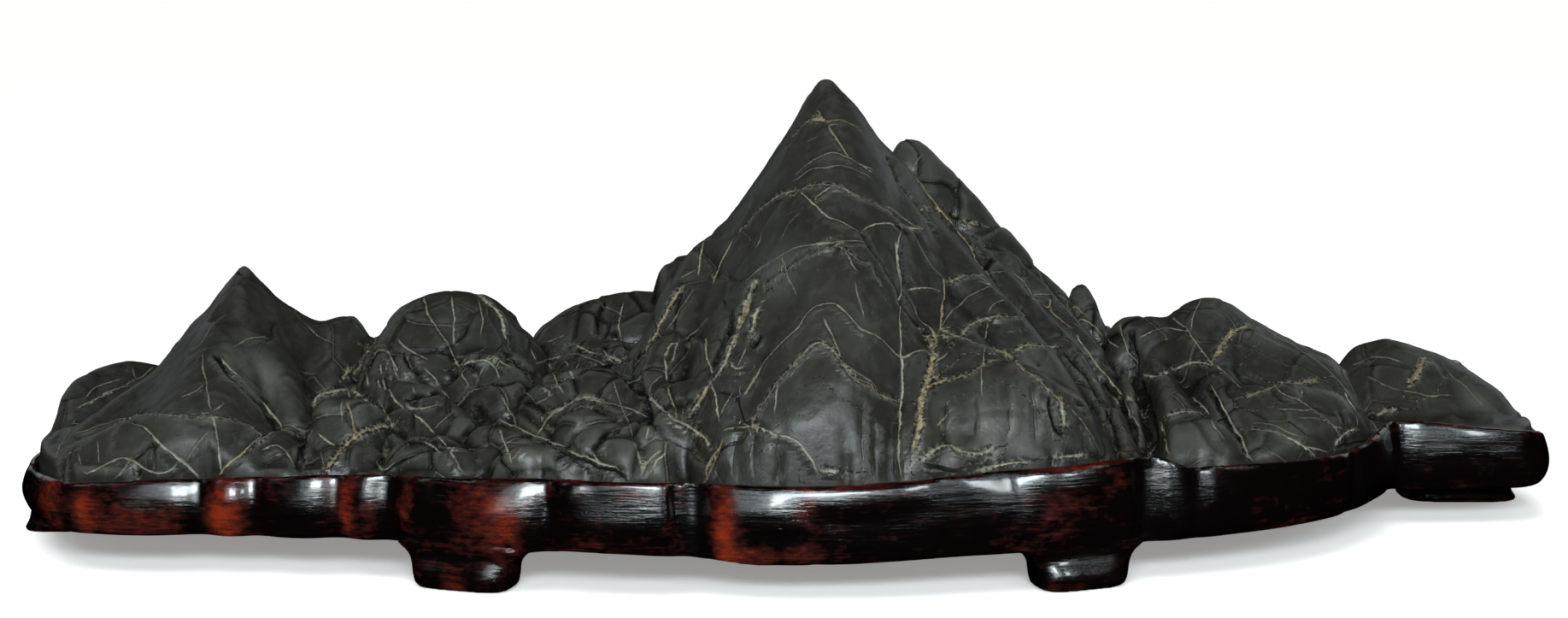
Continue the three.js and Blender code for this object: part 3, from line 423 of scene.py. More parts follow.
EAST_SIDE_LINES = [
    ("pale", "1066,272 1081,293 1089,308 1102,324"), ("ochre", "1104,326 1106,343 1102,356 1101,387"),
    ("rough", "1110,331 1122,324 1145,322 1158,322"), ("pale", "1145,326 1162,335 1177,347 1200,370"),
    ("thin", "1160,320 1179,316 1196,326 1210,345"),
    ("rough", "1125,393 1132,383 1146,374 1167,370 1200,371"),
    ("thin", "1102,383 1118,360 1139,343 1158,335"), ("thin", "1156,366 1160,356 1175,351"),
    ("ochre", "1062,192 1083,222 1099,243 1122,272 1143,303 1158,320"),
    ("bold", "1083,243 1102,246"), ("bold", "1129,261 1146,263"),
    ("chasm", "1037,182 1057,220 1079,245 1099,274"), ("crease", "1112,250 1124,257"),
    ("crease", "1139,284 1156,299"), ("thin", "1070,192 1081,180"), ("crease", "1152,316 1162,301"),
    ("ochre", "1208,345 1217,352 1227,361 1240,372 1253,383"), ("ochre", "1230,348 1229,360"),
    ("pale", "1255,378 1261,372 1270,371 1281,381 1295,398 1308,407"),
    ("broad", "1101,384 1110,390 1125,396 1143,403 1160,406 1175,412 1186,421 1198,433 1211,442 "
             "1224,453 1237,465 1246,473"),
    ("pale", "1253,478 1266,491 1278,510 1287,528"),
    ("bold", "1087,453 1101,446 1118,443 1141,434 1158,424 1175,421"), ("pale", "1093,427 1108,412"),
    ("thin", "1155,377 1151,410 1149,464"), ("thin", "1096,498 1115,479"),
    ("fold", "1176,446 1181,480 1178,516"), ("fold", "1140,464 1143,492 1138,518"),
    ("fold", "1107,470 1104,500 1108,520"), ("fold", "1205,450 1212,480 1211,515"),
    ("rough", "1081,534 1096,524 1112,520 1125,529 1143,531 1160,526"),
    ("crease", "1081,544 1098,546 1120,553 1130,550"), ("thick", "1141,551 1161,546 1200,541"),
    ("rough", "1188,412 1197,404 1207,401 1218,407 1237,407"), ("crease", "1258,472 1281,475"),
    ("crease", "1246,413 1264,430 1279,452 1295,478 1305,502 1312,528"),
    ("pale", "1259,393 1275,415 1290,433 1307,455 1318,473"), ("pale", "1279,442 1295,455 1307,472"),
    ("thick", "1319,462 1328,470 1339,488"), ("thick", "1318,473 1322,485"),
    ("chasm", "1307,462 1319,488 1331,511 1341,534"),
    ("chasm", "1324,384 1327,433 1338,455 1344,476 1351,491 1354,528"),
    ("pale", "1322,485 1336,502 1347,533"),
    ("ochre", "1357,494 1361,511 1368,531"), ("pale", "1312,498 1325,514 1336,530"),
    ("thin", "1206,344 1233,343 1258,357 1276,374"), ("thin", "1310,378 1313,393 1321,412 1327,427"),
    ("thick", "1237,536 1255,533 1270,532"), ("crease", "1227,465 1233,496 1243,511 1249,501"),
    ("thick", "1241,468 1243,488 1246,501"),
]
RIGHT_LINES = [
    ("pale", "1333,395 1348,386 1371,383 1391,389"),
    ("thick", "1338,439 1358,439 1373,431 1389,423 1405,424 1417,429"),
    ("broad", "1417,429 1423,413 1433,399 1445,387 1464,379"),
    ("thin", "1373,372 1391,387 1405,409 1417,425"), ("thin", "1405,350 1395,370 1393,387"),
    ("broad", "1460,462 1480,457 1500,449 1520,448 1542,444"),
    ("pale", "1492,456 1508,464 1528,470 1547,486 1559,496 1567,508"), ("thin", "1523,449 1524,464"),
    ("thin", "1496,478 1520,479 1538,478"),
    ("thin", "1520,487 1544,490 1563,500 1571,502"),
    ("pale", "1415,449 1425,462 1433,480 1445,500 1455,516 1464,538"),
    ("crease", "1411,451 1421,464 1429,482 1441,502 1451,518 1458,536"),
    ("pale", "1395,464 1409,476 1417,492 1433,514"),
    ("rough", "1364,488 1379,482 1395,480 1407,486"), ("ochre", "1358,494 1362,508 1366,528"),
    ("thick", "1466,504 1480,504 1500,508 1516,516 1530,524 1540,536"),
    ("pale", "1528,522 1547,526 1553,530"), ("thin", "1466,496 1476,494 1498,500 1520,510"),
    ("pale", "1443,514 1453,524 1466,540"), ("thick", "1561,522 1571,510 1587,502"),
    ("crease", "1561,526 1587,518 1615,515"), ("pale", "1573,459 1585,476 1589,498"),
    ("thin", "1482,385 1520,407 1553,429 1575,457 1607,494 1613,514"),
    ("thin", "1583,428 1600,419 1622,416 1642,424"),
    ("bold", "1615,482 1634,479"), ("broad", "1652,446 1661,432 1666,420"),
    ("thin", "1640,455 1670,462 1700,462"), ("thin", "1690,432 1716,452 1736,474"),
    ("pale", "1425,428 1440,440 1452,452"), ("thin", "1600,440 1622,452 1640,455"),
]
FRONT_LINES = LEFT_PEAK_LINES + FOOTHILL_LINES + MAIN_PEAK_LINES + EAST_SIDE_LINES + RIGHT_LINES

# Veins out of the camera's sight: what kinds they are, how many steps long, how they turn from
# the slope's fall in radians, length of a step and of the probe that feels for the slope, how
# fast they turn and waver, how far from the edge they keep, and by how much a point may lie
# behind what the camera sees and still count as seen.
HIDDEN_KINDS = ["pale", "thin", "thin", "rough", "crease", "ochre", "pale", "thick", "fold"]
HIDDEN_LENGTHS = [8, 12, 18, 26]
HIDDEN_TURNS = [0.0, 0.35, -0.35, 1.45, -1.45]
HIDDEN_STEP = 1.9
SLOPE_PROBE = 0.8
HIDDEN_TURNING = 0.22
HIDDEN_WAVER = 0.16
HIDDEN_MARGIN = 4
SEEN_DEPTH = 2.5

# Painted sheen: where the stone's colour is made paler to stand in for its soft highlights, in
# picture pixels: middle, reach across and up in millimetres, strength.
PAINTED_SHEEN_PLACES = [
    (300, 440, 6, 12, 1.0), (215, 500, 12, 5, 0.35), (535, 376, 4, 6, 0.3), (410, 480, 5, 6, 0.3),
    (625, 545, 6, 4, 0.6), (700, 500, 8, 6, 0.3), (762, 540, 3, 6, 0.7), (905, 330, 10, 9, 0.8),
    (870, 538, 7, 6, 0.1), (905, 540, 3, 7, 0.15),
    (1108, 505, 3, 9, 0.4), (1150, 500, 3, 10, 0.45), (1190, 505, 3, 9, 0.3), (1210, 430, 6, 5, 0.5),
    (1090, 180, 6, 8, 0.4), (1390, 510, 6, 6, 0.45), (1480, 395, 6, 4, 0.4), (1510, 505, 6, 4, 0.3),
    (1425, 362, 6, 3, 0.4), (1730, 468, 5, 5, 0.6), (1655, 420, 5, 3, 0.2),
]

# Where the stand's black coat is rubbed through to red, and with a negative strength where it is
# whole, in picture pixels: middle, reach along and up the wall in millimetres, strength.
RUBBED_PLACES = [
    (98, 598, 3, 9, 0.9), (128, 606, 7, 5, 0.4), (170, 610, 9, 4, 0.5), (215, 604, 4, 5, 0.3),
    (262, 588, 4.5, 10, 1.0), (254, 612, 3.4, 6, 0.55), (278, 606, 3, 5, 0.4), (385, 572, 3, 3, 0.5),
    (405, 592, 2.4, 9, 1.0),
    (434, 600, 3, 6, 0.45), (474, 590, 2.4, 6, 0.7), (556, 592, 9, 6, 0.7), (602, 612, 6, 7, 0.95),
    (575, 640, 9, 3, 0.5), (530, 684, 3, 3, 0.9), (560, 694, 8, 1.3, 0.9), (628, 574, 4, 3, 0.5),
    (742, 576, 6, 3, 0.55), (700, 644, 12, 2, 0.35), (806, 580, 4, 5, 0.55), (800, 625, 5, 7, 0.35),
    (849, 590, 3.6, 10, 1.2), (846, 636, 3.4, 6, 1.0), (872, 655, 8, 2.5, 0.7),
    (944, 588, 3, 6, 0.95), (905, 650, 9, 3, 0.6), (958, 644, 6, 3, 0.5), (1035, 576, 8, 2, 0.4),
    (1228, 606, 6, 6, 0.6), (1272, 582, 7, 4, 0.4), (1305, 560, 4, 3, 0.45), (1180, 640, 8, 2, 0.4),
    (1240, 690, 8, 1.5, 0.5), (54, 582, 6, 13, 0.85), (48, 614, 6, 2, 0.6), (1500, 615, 12, 2, 0.3),
    (1390, 560, 8, 2, 0.3), (1700, 584, 8, 2, 0.3),
    (225, 590, 2.4, 12, -0.6), (342, 605, 7, 8, -0.5), (452, 592, 2.4, 12, -0.6),
    (505, 600, 6, 6, -0.6), (622, 618, 3.6, 7, -0.9), (655, 600, 3, 10, -0.5), (720, 610, 10, 5, -0.3),
]

# Red places on the wall's back: how many, their strength, and their reach along the wall and up.
BACK_RED_COUNT = 34
BACK_RED_STRENGTH = (0.2, 0.75)
BACK_RED_REACH = (4, 9)
BACK_RED_HEIGHT = 6

# Where the lacquer has stayed dull, in picture pixels: middle, reach along and up the wall in
# millimetres, strength.
DULL_PLACES = [
    (812, 600, 3.5, 12, 0.4), (1348, 590, 4.5, 14, 0.3), (1392, 585, 5, 14, 0.2),
    (1590, 570, 4, 10, 0.4),
]

# Carving on the wall's front, in picture pixels: middle, reach along and up in millimetres,
# depth (negative stands out), sharpness of its border.
CARVED_PLACES = [
    ("hollow under the rim", 500, 570, 10, 6, 1.0, 2.6),
    ("bulge over the left foot", 576, 604, 11, 7, -1.3, 2),
    ("chip beside the gully", 790, 592, 1.4, 7, 0.7, 2),
    ("flute left of the gully lobe", 812, 600, 4.5, 9, 1.1, 2),
    ("swelling right of the gully", 900, 600, 12, 5, -0.5, 2),
    ("upright stretch of the long lobe", 1005, 578, 14, 5, -1.3, 4),
    ("dip in the long lobe", 1010, 622, 14, 5, 0.45, 2),
    ("swelling left of the right foot", 1184, 595, 9, 10, -0.8, 2),
    ("foot of that swelling", 1205, 616, 8, 5, -0.7, 2),
    ("upright stretch over the right foot", 1262, 556, 13, 7, -1.5, 4),
    ("upright stretch left of the gully", 662, 572, 5, 4, -1.1, 3),
    ("upright stretch by the left foot", 488, 572, 4, 4, -0.9, 3),
    ("upright stretch of the red lobe", 262, 578, 4, 4, -0.7, 3),
    ("flute right of the right foot", 1337, 590, 3.2, 10, 0.8, 2),
]

# How far a place cast from the picture reaches into the piece, in millimetres.
PLACE_DEPTH = 9


class StoneSettings(bpy.types.PropertyGroup):
    skin_step: FloatProperty(
        name="Skin step", description="Size of the stone's surface faces, in millimetres",
        default=1.15, min=0.8, max=4.0)
    swell: FloatProperty(
        name="Swell", description="Height of the broad unevenness, in millimetres",
        default=0.28, min=0.0, max=3.0)
    tooth: FloatProperty(
        name="Tooth", description="Height of the fine unevenness, in millimetres",
        default=0.09, min=0.0, max=1.0)
    split: FloatProperty(
        name="Split", description="How far the facets stand, against their own size",
        default=1.0, min=0.0, max=3.0, subtype="FACTOR")
    wear: IntProperty(
        name="Wear", description="Rounds of smoothing where water and hands have worn the stone",
        default=14, min=0, max=60)
    relief: FloatProperty(
        name="Line relief", description="How far grooves and lips stand, against their own size",
        default=1.0, min=0.0, max=3.0, subtype="FACTOR")
    vein_count: IntProperty(
        name="Veins out of sight", description="Veins started on the back and the sides",
        default=420, min=0, max=1000)
    body: FloatVectorProperty(
        name="Body", description="Colour of the stone between its veins, sRGB",
        default=(0.106, 0.103, 0.092), size=3, min=0.0, max=1.0, subtype="COLOR_GAMMA")
    vein: FloatVectorProperty(
        name="Vein", description="Colour of the calcite veins, sRGB",
        default=(0.53, 0.52, 0.455), size=3, min=0.0, max=1.0, subtype="COLOR_GAMMA")
    stain: FloatVectorProperty(
        name="Stain", description="Colour of the iron-stained veins, sRGB",
        default=(0.51, 0.465, 0.365), size=3, min=0.0, max=1.0, subtype="COLOR_GAMMA")


class StandSettings(bpy.types.PropertyGroup):
    skin_step: FloatProperty(
        name="Skin step", description="Size of the stand's surface faces, in millimetres",
        default=0.78, min=0.5, max=4.0)
    swell: FloatProperty(
        name="Swell", description="Unevenness left by carving by hand, in millimetres",
        default=0.42, min=0.0, max=2.0)
    outline_points: IntProperty(
        name="Outline points", description="Points round the wall before it is carved",
        default=1000, min=200, max=2000)
    lacquer: FloatVectorProperty(
        name="Lacquer", description="Colour of the black top coats, sRGB",
        default=(0.016, 0.008, 0.008), size=3, min=0.0, max=1.0, subtype="COLOR_GAMMA")
    undercoat: FloatVectorProperty(
        name="Undercoat", description="Colour of the red coat that shows where it is rubbed, sRGB",
        default=(0.41, 0.115, 0.015), size=3, min=0.0, max=1.0, subtype="COLOR_GAMMA")


class StudioSettings(bpy.types.PropertyGroup):
    floor_size: FloatProperty(
        name="Floor size", description="Side of the square floor",
        default=60.0, min=2.0, unit="LENGTH")
    floor: FloatVectorProperty(
        name="Floor", description="Colour of the matt floor, sRGB",
        default=(0.97, 0.962, 0.955), size=3, min=0.0, max=1.0, subtype="COLOR_GAMMA")
    softbox_power: FloatProperty(
        name="Softbox power", description="Power of the wide softbox over the front",
        default=14.0, min=0.0, unit="POWER")


# Small helpers.

def linear(colour):
    """sRGB, as a hex string or three shares, to the linear colour that a node takes."""
    if isinstance(colour, str):
        colour = [int(colour[i:i + 2], 16) / 255 for i in (1, 3, 5)]
    shares = [c / 12.92 if c <= 0.04045 else ((c + 0.055) / 1.055) ** 2.4 for c in colour]
    return (*shares, 1.0)


def add_node(tree, kind, settings=None, links=None):
    """A shader node with its options, its own input values and what its inputs are linked from:
    a socket, or a node for its first output."""
    node = tree.nodes.new("ShaderNode" + kind)
    for key, value in (settings or {}).items():
        if isinstance(key, int) or key in node.inputs:
            node.inputs[key].default_value = value
        else:
            setattr(node, key, value)
    for key, source in (links or {}).items():
        tree.links.new(getattr(source, "outputs", [source])[0], node.inputs[key])
    return node


def new_material(name):
    material = bpy.data.materials.new(name)
    material.use_nodes = True
    material.node_tree.nodes.clear()
    return material, material.node_tree


def deselect_all():
    if bpy.context.object and bpy.context.object.mode != "OBJECT":
        bpy.ops.object.mode_set(mode="OBJECT")
    bpy.ops.object.select_all(action="DESELECT")


def face_outward():
    """Turn all faces of the active piece outward."""
    bpy.ops.object.mode_set(mode="EDIT")
    bpy.ops.mesh.select_all(action="SELECT")
    bpy.ops.mesh.normals_make_consistent(inside=False)
    bpy.ops.object.mode_set(mode="OBJECT")


def edit_faces(mesh, chosen):
    """Open the active piece for editing with only the chosen faces selected."""
    bpy.ops.object.mode_set(mode="EDIT")
    bpy.ops.mesh.select_mode(type="FACE")
    bpy.ops.object.mode_set(mode="OBJECT")
    mesh.polygons.foreach_set("select", chosen)
    bpy.ops.object.mode_set(mode="EDIT")


def read_values(items, name, kind=float):
    """One vector of each item, as rows."""
    width = 2 if kind is int else 3
    values = np.empty(width * len(items), dtype=np.int32 if kind is int else float)
    items.foreach_get(name, values)
    return values.reshape(-1, width)


def read_points(mesh):
    """Vertex places in millimetres."""
    return read_values(mesh.vertices, "co") / MM


def write_points(mesh, points):
    mesh.vertices.foreach_set("co", (points * MM).ravel())
    mesh.update()


def read_normals(mesh):
    return read_values(mesh.vertex_normals, "vector")


def read_edges(mesh):
    """Numbers of the two vertices of each edge."""
    return read_values(mesh.edges, "vertices", int)


def write_attribute(mesh, name, values):
    kind = "FLOAT" if values.ndim == 1 else "FLOAT_VECTOR"
    layer = mesh.attributes.new(name, kind, "POINT")
    layer.data.foreach_set("value" if values.ndim == 1 else "vector", values.astype(np.float32).ravel())


def apply_modifier(piece, kind, **settings):
    modifier = piece.modifiers.new(kind.lower(), kind)
    for key, value in settings.items():
        setattr(modifier, key, value)
    bpy.context.view_layer.objects.active = piece
    bpy.ops.object.modifier_apply(modifier=modifier.name)


def point_tree(points):
    tree = kdtree.KDTree(len(points))
    for index, point in enumerate(np.asarray(points).tolist()):
        tree.insert(point, index)
    tree.balance()
    return tree


def smooth_step(low, high, values):
    share = np.clip((values - low) / (high - low), 0, 1)
    return share * share * (3 - 2 * share)


def uneven(points, size, octaves, offset):
    """Fractal noise between about -1 and 1 at each point, `size` millimetres to a wave."""
    shift = Vector((offset, 0.37 * offset, -0.61 * offset))
    return np.array([
        noise.fractal(Vector(point) / size + shift, 1.0, 2.0, octaves) for point in points.tolist()])


def neighbour_mean(edges, values):
    """Mean over the vertices that share an edge with each vertex."""
    count = len(values)
    degree = np.bincount(edges.ravel(), minlength=count)
    total = np.stack([
        np.bincount(edges[:, 0], weights=values[edges[:, 1], k], minlength=count)
        + np.bincount(edges[:, 1], weights=values[edges[:, 0], k], minlength=count)
        for k in range(values.shape[1])], axis=1)
    return total / np.maximum(degree, 1)[:, None]


def hollowness(mesh, rounds):
    """How far, in millimetres, the surface lies below its own smoothed shape: ridges come out
    negative and creases positive."""
    points = read_points(mesh)
    normals = read_normals(mesh)
    edges = read_edges(mesh)
    smoothed = points
    for _ in range(rounds):
        smoothed = 0.5 * smoothed + 0.5 * neighbour_mean(edges, smoothed)
    return ((smoothed - points) * normals).sum(axis=1)


# Plane lines and the ground that they carry.

def stand_outline(softening):
    """The stand's widest line as [x, y, rim height] at about every millimetre."""
    raw = []
    for index, (ax, ay, bulge, az) in enumerate(LOBES):
        bx, by, _, bz = LOBES[(index + 1) % len(LOBES)]
        chord = math.hypot(bx - ax, by - ay)
        for i in range(math.ceil(chord)):
            share = i / math.ceil(chord)
            out = 4 * bulge * share * (1 - share)
            raw.append((
                ax + share * (bx - ax) + out * (by - ay) / chord,
                ay + share * (by - ay) - out * (bx - ax) / chord,
                az + share * share * (3 - 2 * share) * (bz - az)))
    raw = np.array(raw)
    offsets = range(-math.ceil(3 * softening), math.ceil(3 * softening) + 1)
    weights = [math.exp(-0.5 * (k / softening) ** 2) for k in offsets]
    return sum(w * np.roll(raw, -k, axis=0) for w, k in zip(weights, offsets)) / sum(weights)


def moved_in(line, distance):
    step = np.roll(line, -2, axis=0)[:, :2] - np.roll(line, 2, axis=0)[:, :2]
    step /= np.linalg.norm(step, axis=1)[:, None]
    moved = line.copy()
    moved[:, 0] -= distance * step[:, 1]
    moved[:, 1] += distance * step[:, 0]
    return (np.roll(moved, 1, axis=0) + 2 * moved + np.roll(moved, -1, axis=0)) / 4


def along_line(line):
    """Length along a closed line up to each of its points, and right round."""
    steps = np.linalg.norm(np.roll(line, -1, axis=0)[:, :2] - line[:, :2], axis=1)
    return np.concatenate([[0], np.cumsum(steps)])


def even_points(line, count):
    along = along_line(line)
    closed = np.vstack([line, line[:1]])
    marks = np.arange(count) * along[-1] / count
    return np.stack([np.interp(marks, along, closed[:, k]) for k in range(line.shape[1])], axis=1)


def crest_points(points):
    """A centripetal curve through the points of a crest, ten steps to a span."""
    points = np.array(points, dtype=float)
    if len(points) < 3:
        return np.vstack([points, points[-1:]]) if len(points) == 1 else points
    whole = np.vstack([2 * points[0] - points[1], points, 2 * points[-1] - points[-2]])
    curve = []
    for i in range(1, len(whole) - 2):
        a, b, c, d = whole[i - 1:i + 3]
        da, db, dc = (max(np.linalg.norm(q - p), 1e-4) ** 0.5 for p, q in ((a, b), (b, c), (c, d)))
        start = ((b - a) / da - (c - a) / (da + db) + (c - b) / db) * db
        end = ((c - b) / db - (d - b) / (db + dc) + (d - c) / dc) * db
        for t in np.arange(0, 1, 0.1):
            curve.append(
                b + start * t + (3 * (c - b) - 2 * start - end) * t ** 2
                + (start + end - 2 * (c - b)) * t ** 3)
    curve.append(points[-1])
    return np.array(curve)


OUTLINE = stand_outline(1.5)
STONE_EDGE = moved_in(OUTLINE, STONE_IN)[:, :2]
CRESTS = [crest_points(crest) for crest, _, _, _ in MOUNDS]
EDGE_TREE = point_tree(np.insert(STONE_EDGE, 2, 0, axis=1))


def distance_to_segments(x, y, start, end):
    step = end - start
    square = np.maximum((step ** 2).sum(axis=-1), 1e-12)
    share = ((x - start[..., 0]) * step[..., 0] + (y - start[..., 1]) * step[..., 1]) / square
    share = np.clip(share, 0, 1)
    return np.hypot(x - start[..., 0] - share * step[..., 0], y - start[..., 1] - share * step[..., 1])


def edge_distance(x, y):
    """Distance in plan to the stone's edge."""
    nearest = np.array([EDGE_TREE.find((px, py, 0))[1] for px, py in zip(x.tolist(), y.tolist())])
    here = STONE_EDGE[nearest]
    before = STONE_EDGE[nearest - 1]
    after = STONE_EDGE[(nearest + 1) % len(STONE_EDGE)]
    return np.minimum(distance_to_segments(x, y, before, here), distance_to_segments(x, y, here, after))


def ground_height(x, y, distance=None):
    """Height of the stone's surface: mounds that meet in softened creases, less the gorges, and
    the fluted side that rounds down to the edge."""
    heights = np.full((len(MOUNDS) + 1, len(x)), float(LOWEST_GROUND))
    for row, ((_, reach, fall, power), crest) in enumerate(zip(MOUNDS, CRESTS)):
        highest = np.full(len(x), -1e3)
        for (ax, ay, az), (bx, by, bz) in zip(crest[:-1], crest[1:]):
            dx, dy = bx - ax, by - ay
            square = dx * dx + dy * dy
            share = np.clip(((x - ax) * dx + (y - ay) * dy) / square, 0, 1) if square > 0 else 0.0
            depth = np.where(y - ay - share * dy < 0, float(reach[1]), float(reach[2]))
            if square > 0:
                wide, deep = dx / reach[0] ** 2, dy / depth ** 2
                share = np.clip(((x - ax) * wide + (y - ay) * deep) / (dx * wide + dy * deep), 0, 1)
            across = (x - ax - share * dx) / reach[0]
            along = (y - ay - share * dy) / depth
            square = across ** 2 + along ** 2
            drop = fall * square ** (power / 2)
            if power < SHARP_POWER:
                drop = drop * -np.expm1(-square / TIP_BLUNTNESS ** 2)
            height = az + share * (bz - az) - drop
            np.maximum(highest, height, out=highest)
        heights[row] = highest
    top = heights.max(axis=0)
    ground = top + CREASE_BLEND * np.log(np.exp((heights - top) / CREASE_BLEND).sum(axis=0))
    ground -= CREASE_LIFT
    for line, depth, width in GORGES:
        line = np.array(line, dtype=float)
        near = np.min([distance_to_segments(x, y, a, b) for a, b in zip(line[:-1], line[1:])], axis=0)
        ground -= depth * np.exp(-(near / width) ** 2)
    if distance is None:
        distance = edge_distance(x, y)
    flutes = uneven(np.stack([x, y, np.zeros(len(x))], axis=1), FLUTE_SPACING, 1, 61.0)
    distance = np.maximum(distance - FLUTE_DEPTH * np.exp(-(flutes / FLUTE_WIDTH) ** 2), 0)
    side = SIDE_HEIGHT + SIDE_RISE * distance ** SIDE_POWER
    lower, upper = np.minimum(ground, side), np.maximum(ground, side)
    return lower - SIDE_BLEND * np.log1p(np.exp((lower - upper) / SIDE_BLEND))


def bend(points):
    """Points moved by a slow swirl, so that what is straight in it comes out bent."""
    swirl = [uneven(points, FACET_WAVE, 2, offset) for offset in (21.0, 34.0, 47.0)]
    return points + FACET_BEND * np.stack(swirl, axis=1)


def facets(points):
    """Height of the flat, tilted facets that the stone splits into, in millimetres, and for each
    vertex the signed distance to the nearest edge between two of them with that edge's strength."""
    rng = random.Random(3)
    x, y = (np.array([rng.uniform(-half, half) for _ in range(FACET_TRIES)]) for half in PLAN_HALF)
    middles = bend(np.stack([x, y, ground_height(x, y)], axis=1))
    seeds = middles[:1]
    for middle in middles:
        if np.abs(seeds - middle).max(axis=1).min() > FACET_SIZE * rng.uniform(0.5, 1.0):
            seeds = np.vstack([seeds, middle])
    tilt = np.array([[rng.gauss(0, FACET_TILT) for _ in range(3)] for _ in seeds])
    bent = bend(points)
    tree = point_tree(seeds)
    found = [tree.find_n(point, 2) for point in bent.tolist()]
    own = np.array([pair[0][1] for pair in found])
    other = np.array([pair[1][1] for pair in found])
    gap = np.linalg.norm(seeds[own] - seeds[other], axis=1)
    border = np.array([pair[1][2] ** 2 - pair[0][2] ** 2 for pair in found]) / (2 * gap)
    height = ((bent - seeds[own]) * tilt[own]).sum(axis=1)
    beyond = ((bent - seeds[other]) * tilt[other]).sum(axis=1)
    shared = 0.5 * np.exp(-border / FACET_EDGE)
    height = (1 - shared) * height + shared * beyond
    height -= FACET_CREASE * np.exp(-(border / FACET_EDGE) ** 2)
    low, high = np.minimum(own, other), np.maximum(own, other)
    strength = np.mod(np.sin(low * 12.99 + high * 78.23) * 43758.5, 1.0)
    signed = np.where(own < other, border, -border)
    return height, np.stack([signed, strength, np.ones(len(points))], axis=1)


def picture_ray(u, v):
    """Where the camera stands and which way it looks through a picture pixel, in metres."""
    right = (u - PICTURE[0] / 2) / FOCAL_PIXELS
    up = -(v - PICTURE[1] / 2) / FOCAL_PIXELS
    c, s = math.cos(CAMERA_PITCH), math.sin(CAMERA_PITCH)
    return Vector(CAMERA_PLACE) * MM, Vector((right, c + up * s, -s + up * c)).normalized()


def surface_tree(piece):
    return BVHTree.FromObject(piece, bpy.context.evaluated_depsgraph_get())


def nearness(points, tree, u, v, along_reach, up_reach):
    """Distance from a picture pixel's place on the surface, as a share of the reach."""
    place, normal, _, _ = tree.ray_cast(*picture_ray(u, v))
    if place is None:
        return np.full(len(points), 99.0)
    place = np.array(place) / MM
    along = np.array([-normal.y, normal.x, 0.0])
    along /= max(np.linalg.norm(along), 1e-6)
    away = points - place
    side = away @ along
    depth = away @ np.array([along[1], -along[0], 0.0])
    return np.sqrt(
        (side / along_reach) ** 2 + (away[:, 2] / up_reach) ** 2 + (depth / PLACE_DEPTH) ** 2)


def spots(points, tree, places, power):
    """The strength of each of the picture's places at each point, by a power of its nearness."""
    return [
        strength * np.exp(-nearness(points, tree, *where) ** power) for *where, strength in places]


def worn_share(x, y):
    """How far water and hands have worn the stone smooth at each place in plan."""
    dome = ((x + 97) / 24) ** 2 + ((y - 25) / 18) ** 2

    # Each part by its strength, and by its middle and half width or by where it sets in.
    parts = {
        "front of the main peak": np.exp(-((x - 22) / 47) ** 6) * smooth_step(30, 6, y),
        "left peak": 0.85 * np.exp(-((x + 160) / 36) ** 6),
        "mounds to the right": 0.55 * smooth_step(88, 104, x),
        "second dome": 0.75 * np.exp(-dome ** 2),
        "far right mound": 0.8 * smooth_step(152, 164, x),
    }
    return np.max(list(parts.values()), axis=0)


# Lines on the stone.

def picture_line(text, tree):
    """A line of picture pixels cast onto the surface, in parts that hang together: each part is
    its points and normals, in millimetres."""
    corners = [tuple(float(value) for value in pair.split(",")) for pair in text.split()]
    steps = []
    for (au, av), (bu, bv) in zip(corners[:-1], corners[1:]):
        count = max(int(math.hypot(bu - au, bv - av) / LINE_SPACING), 1)
        steps += [(au + (bu - au) * i / count, av + (bv - av) * i / count) for i in range(count)]
    steps = np.array([*steps, corners[-1]])
    for _ in range(2):
        steps[1:-1] = (steps[:-2] + 2 * steps[1:-1] + steps[2:]) / 4
    parts, part = [], []
    for u, v in steps.tolist():
        u += LINE_WANDER * noise.noise(Vector((u / LINE_WAVE, v / LINE_WAVE, 3.0)))
        v += LINE_WANDER * noise.noise(Vector((u / LINE_WAVE, v / LINE_WAVE, 40.0)))
        place, normal, _, _ = tree.ray_cast(*picture_ray(u, v))
        if place is None:
            parts.append(part)
            part = []
            continue
        if part and (place / MM - part[-1][0]).length > LINE_BREAK:
            parts.append(part)
            part = []
        part.append((place / MM, normal))
    parts.append(part)
    return [part for part in parts if len(part) > 1]


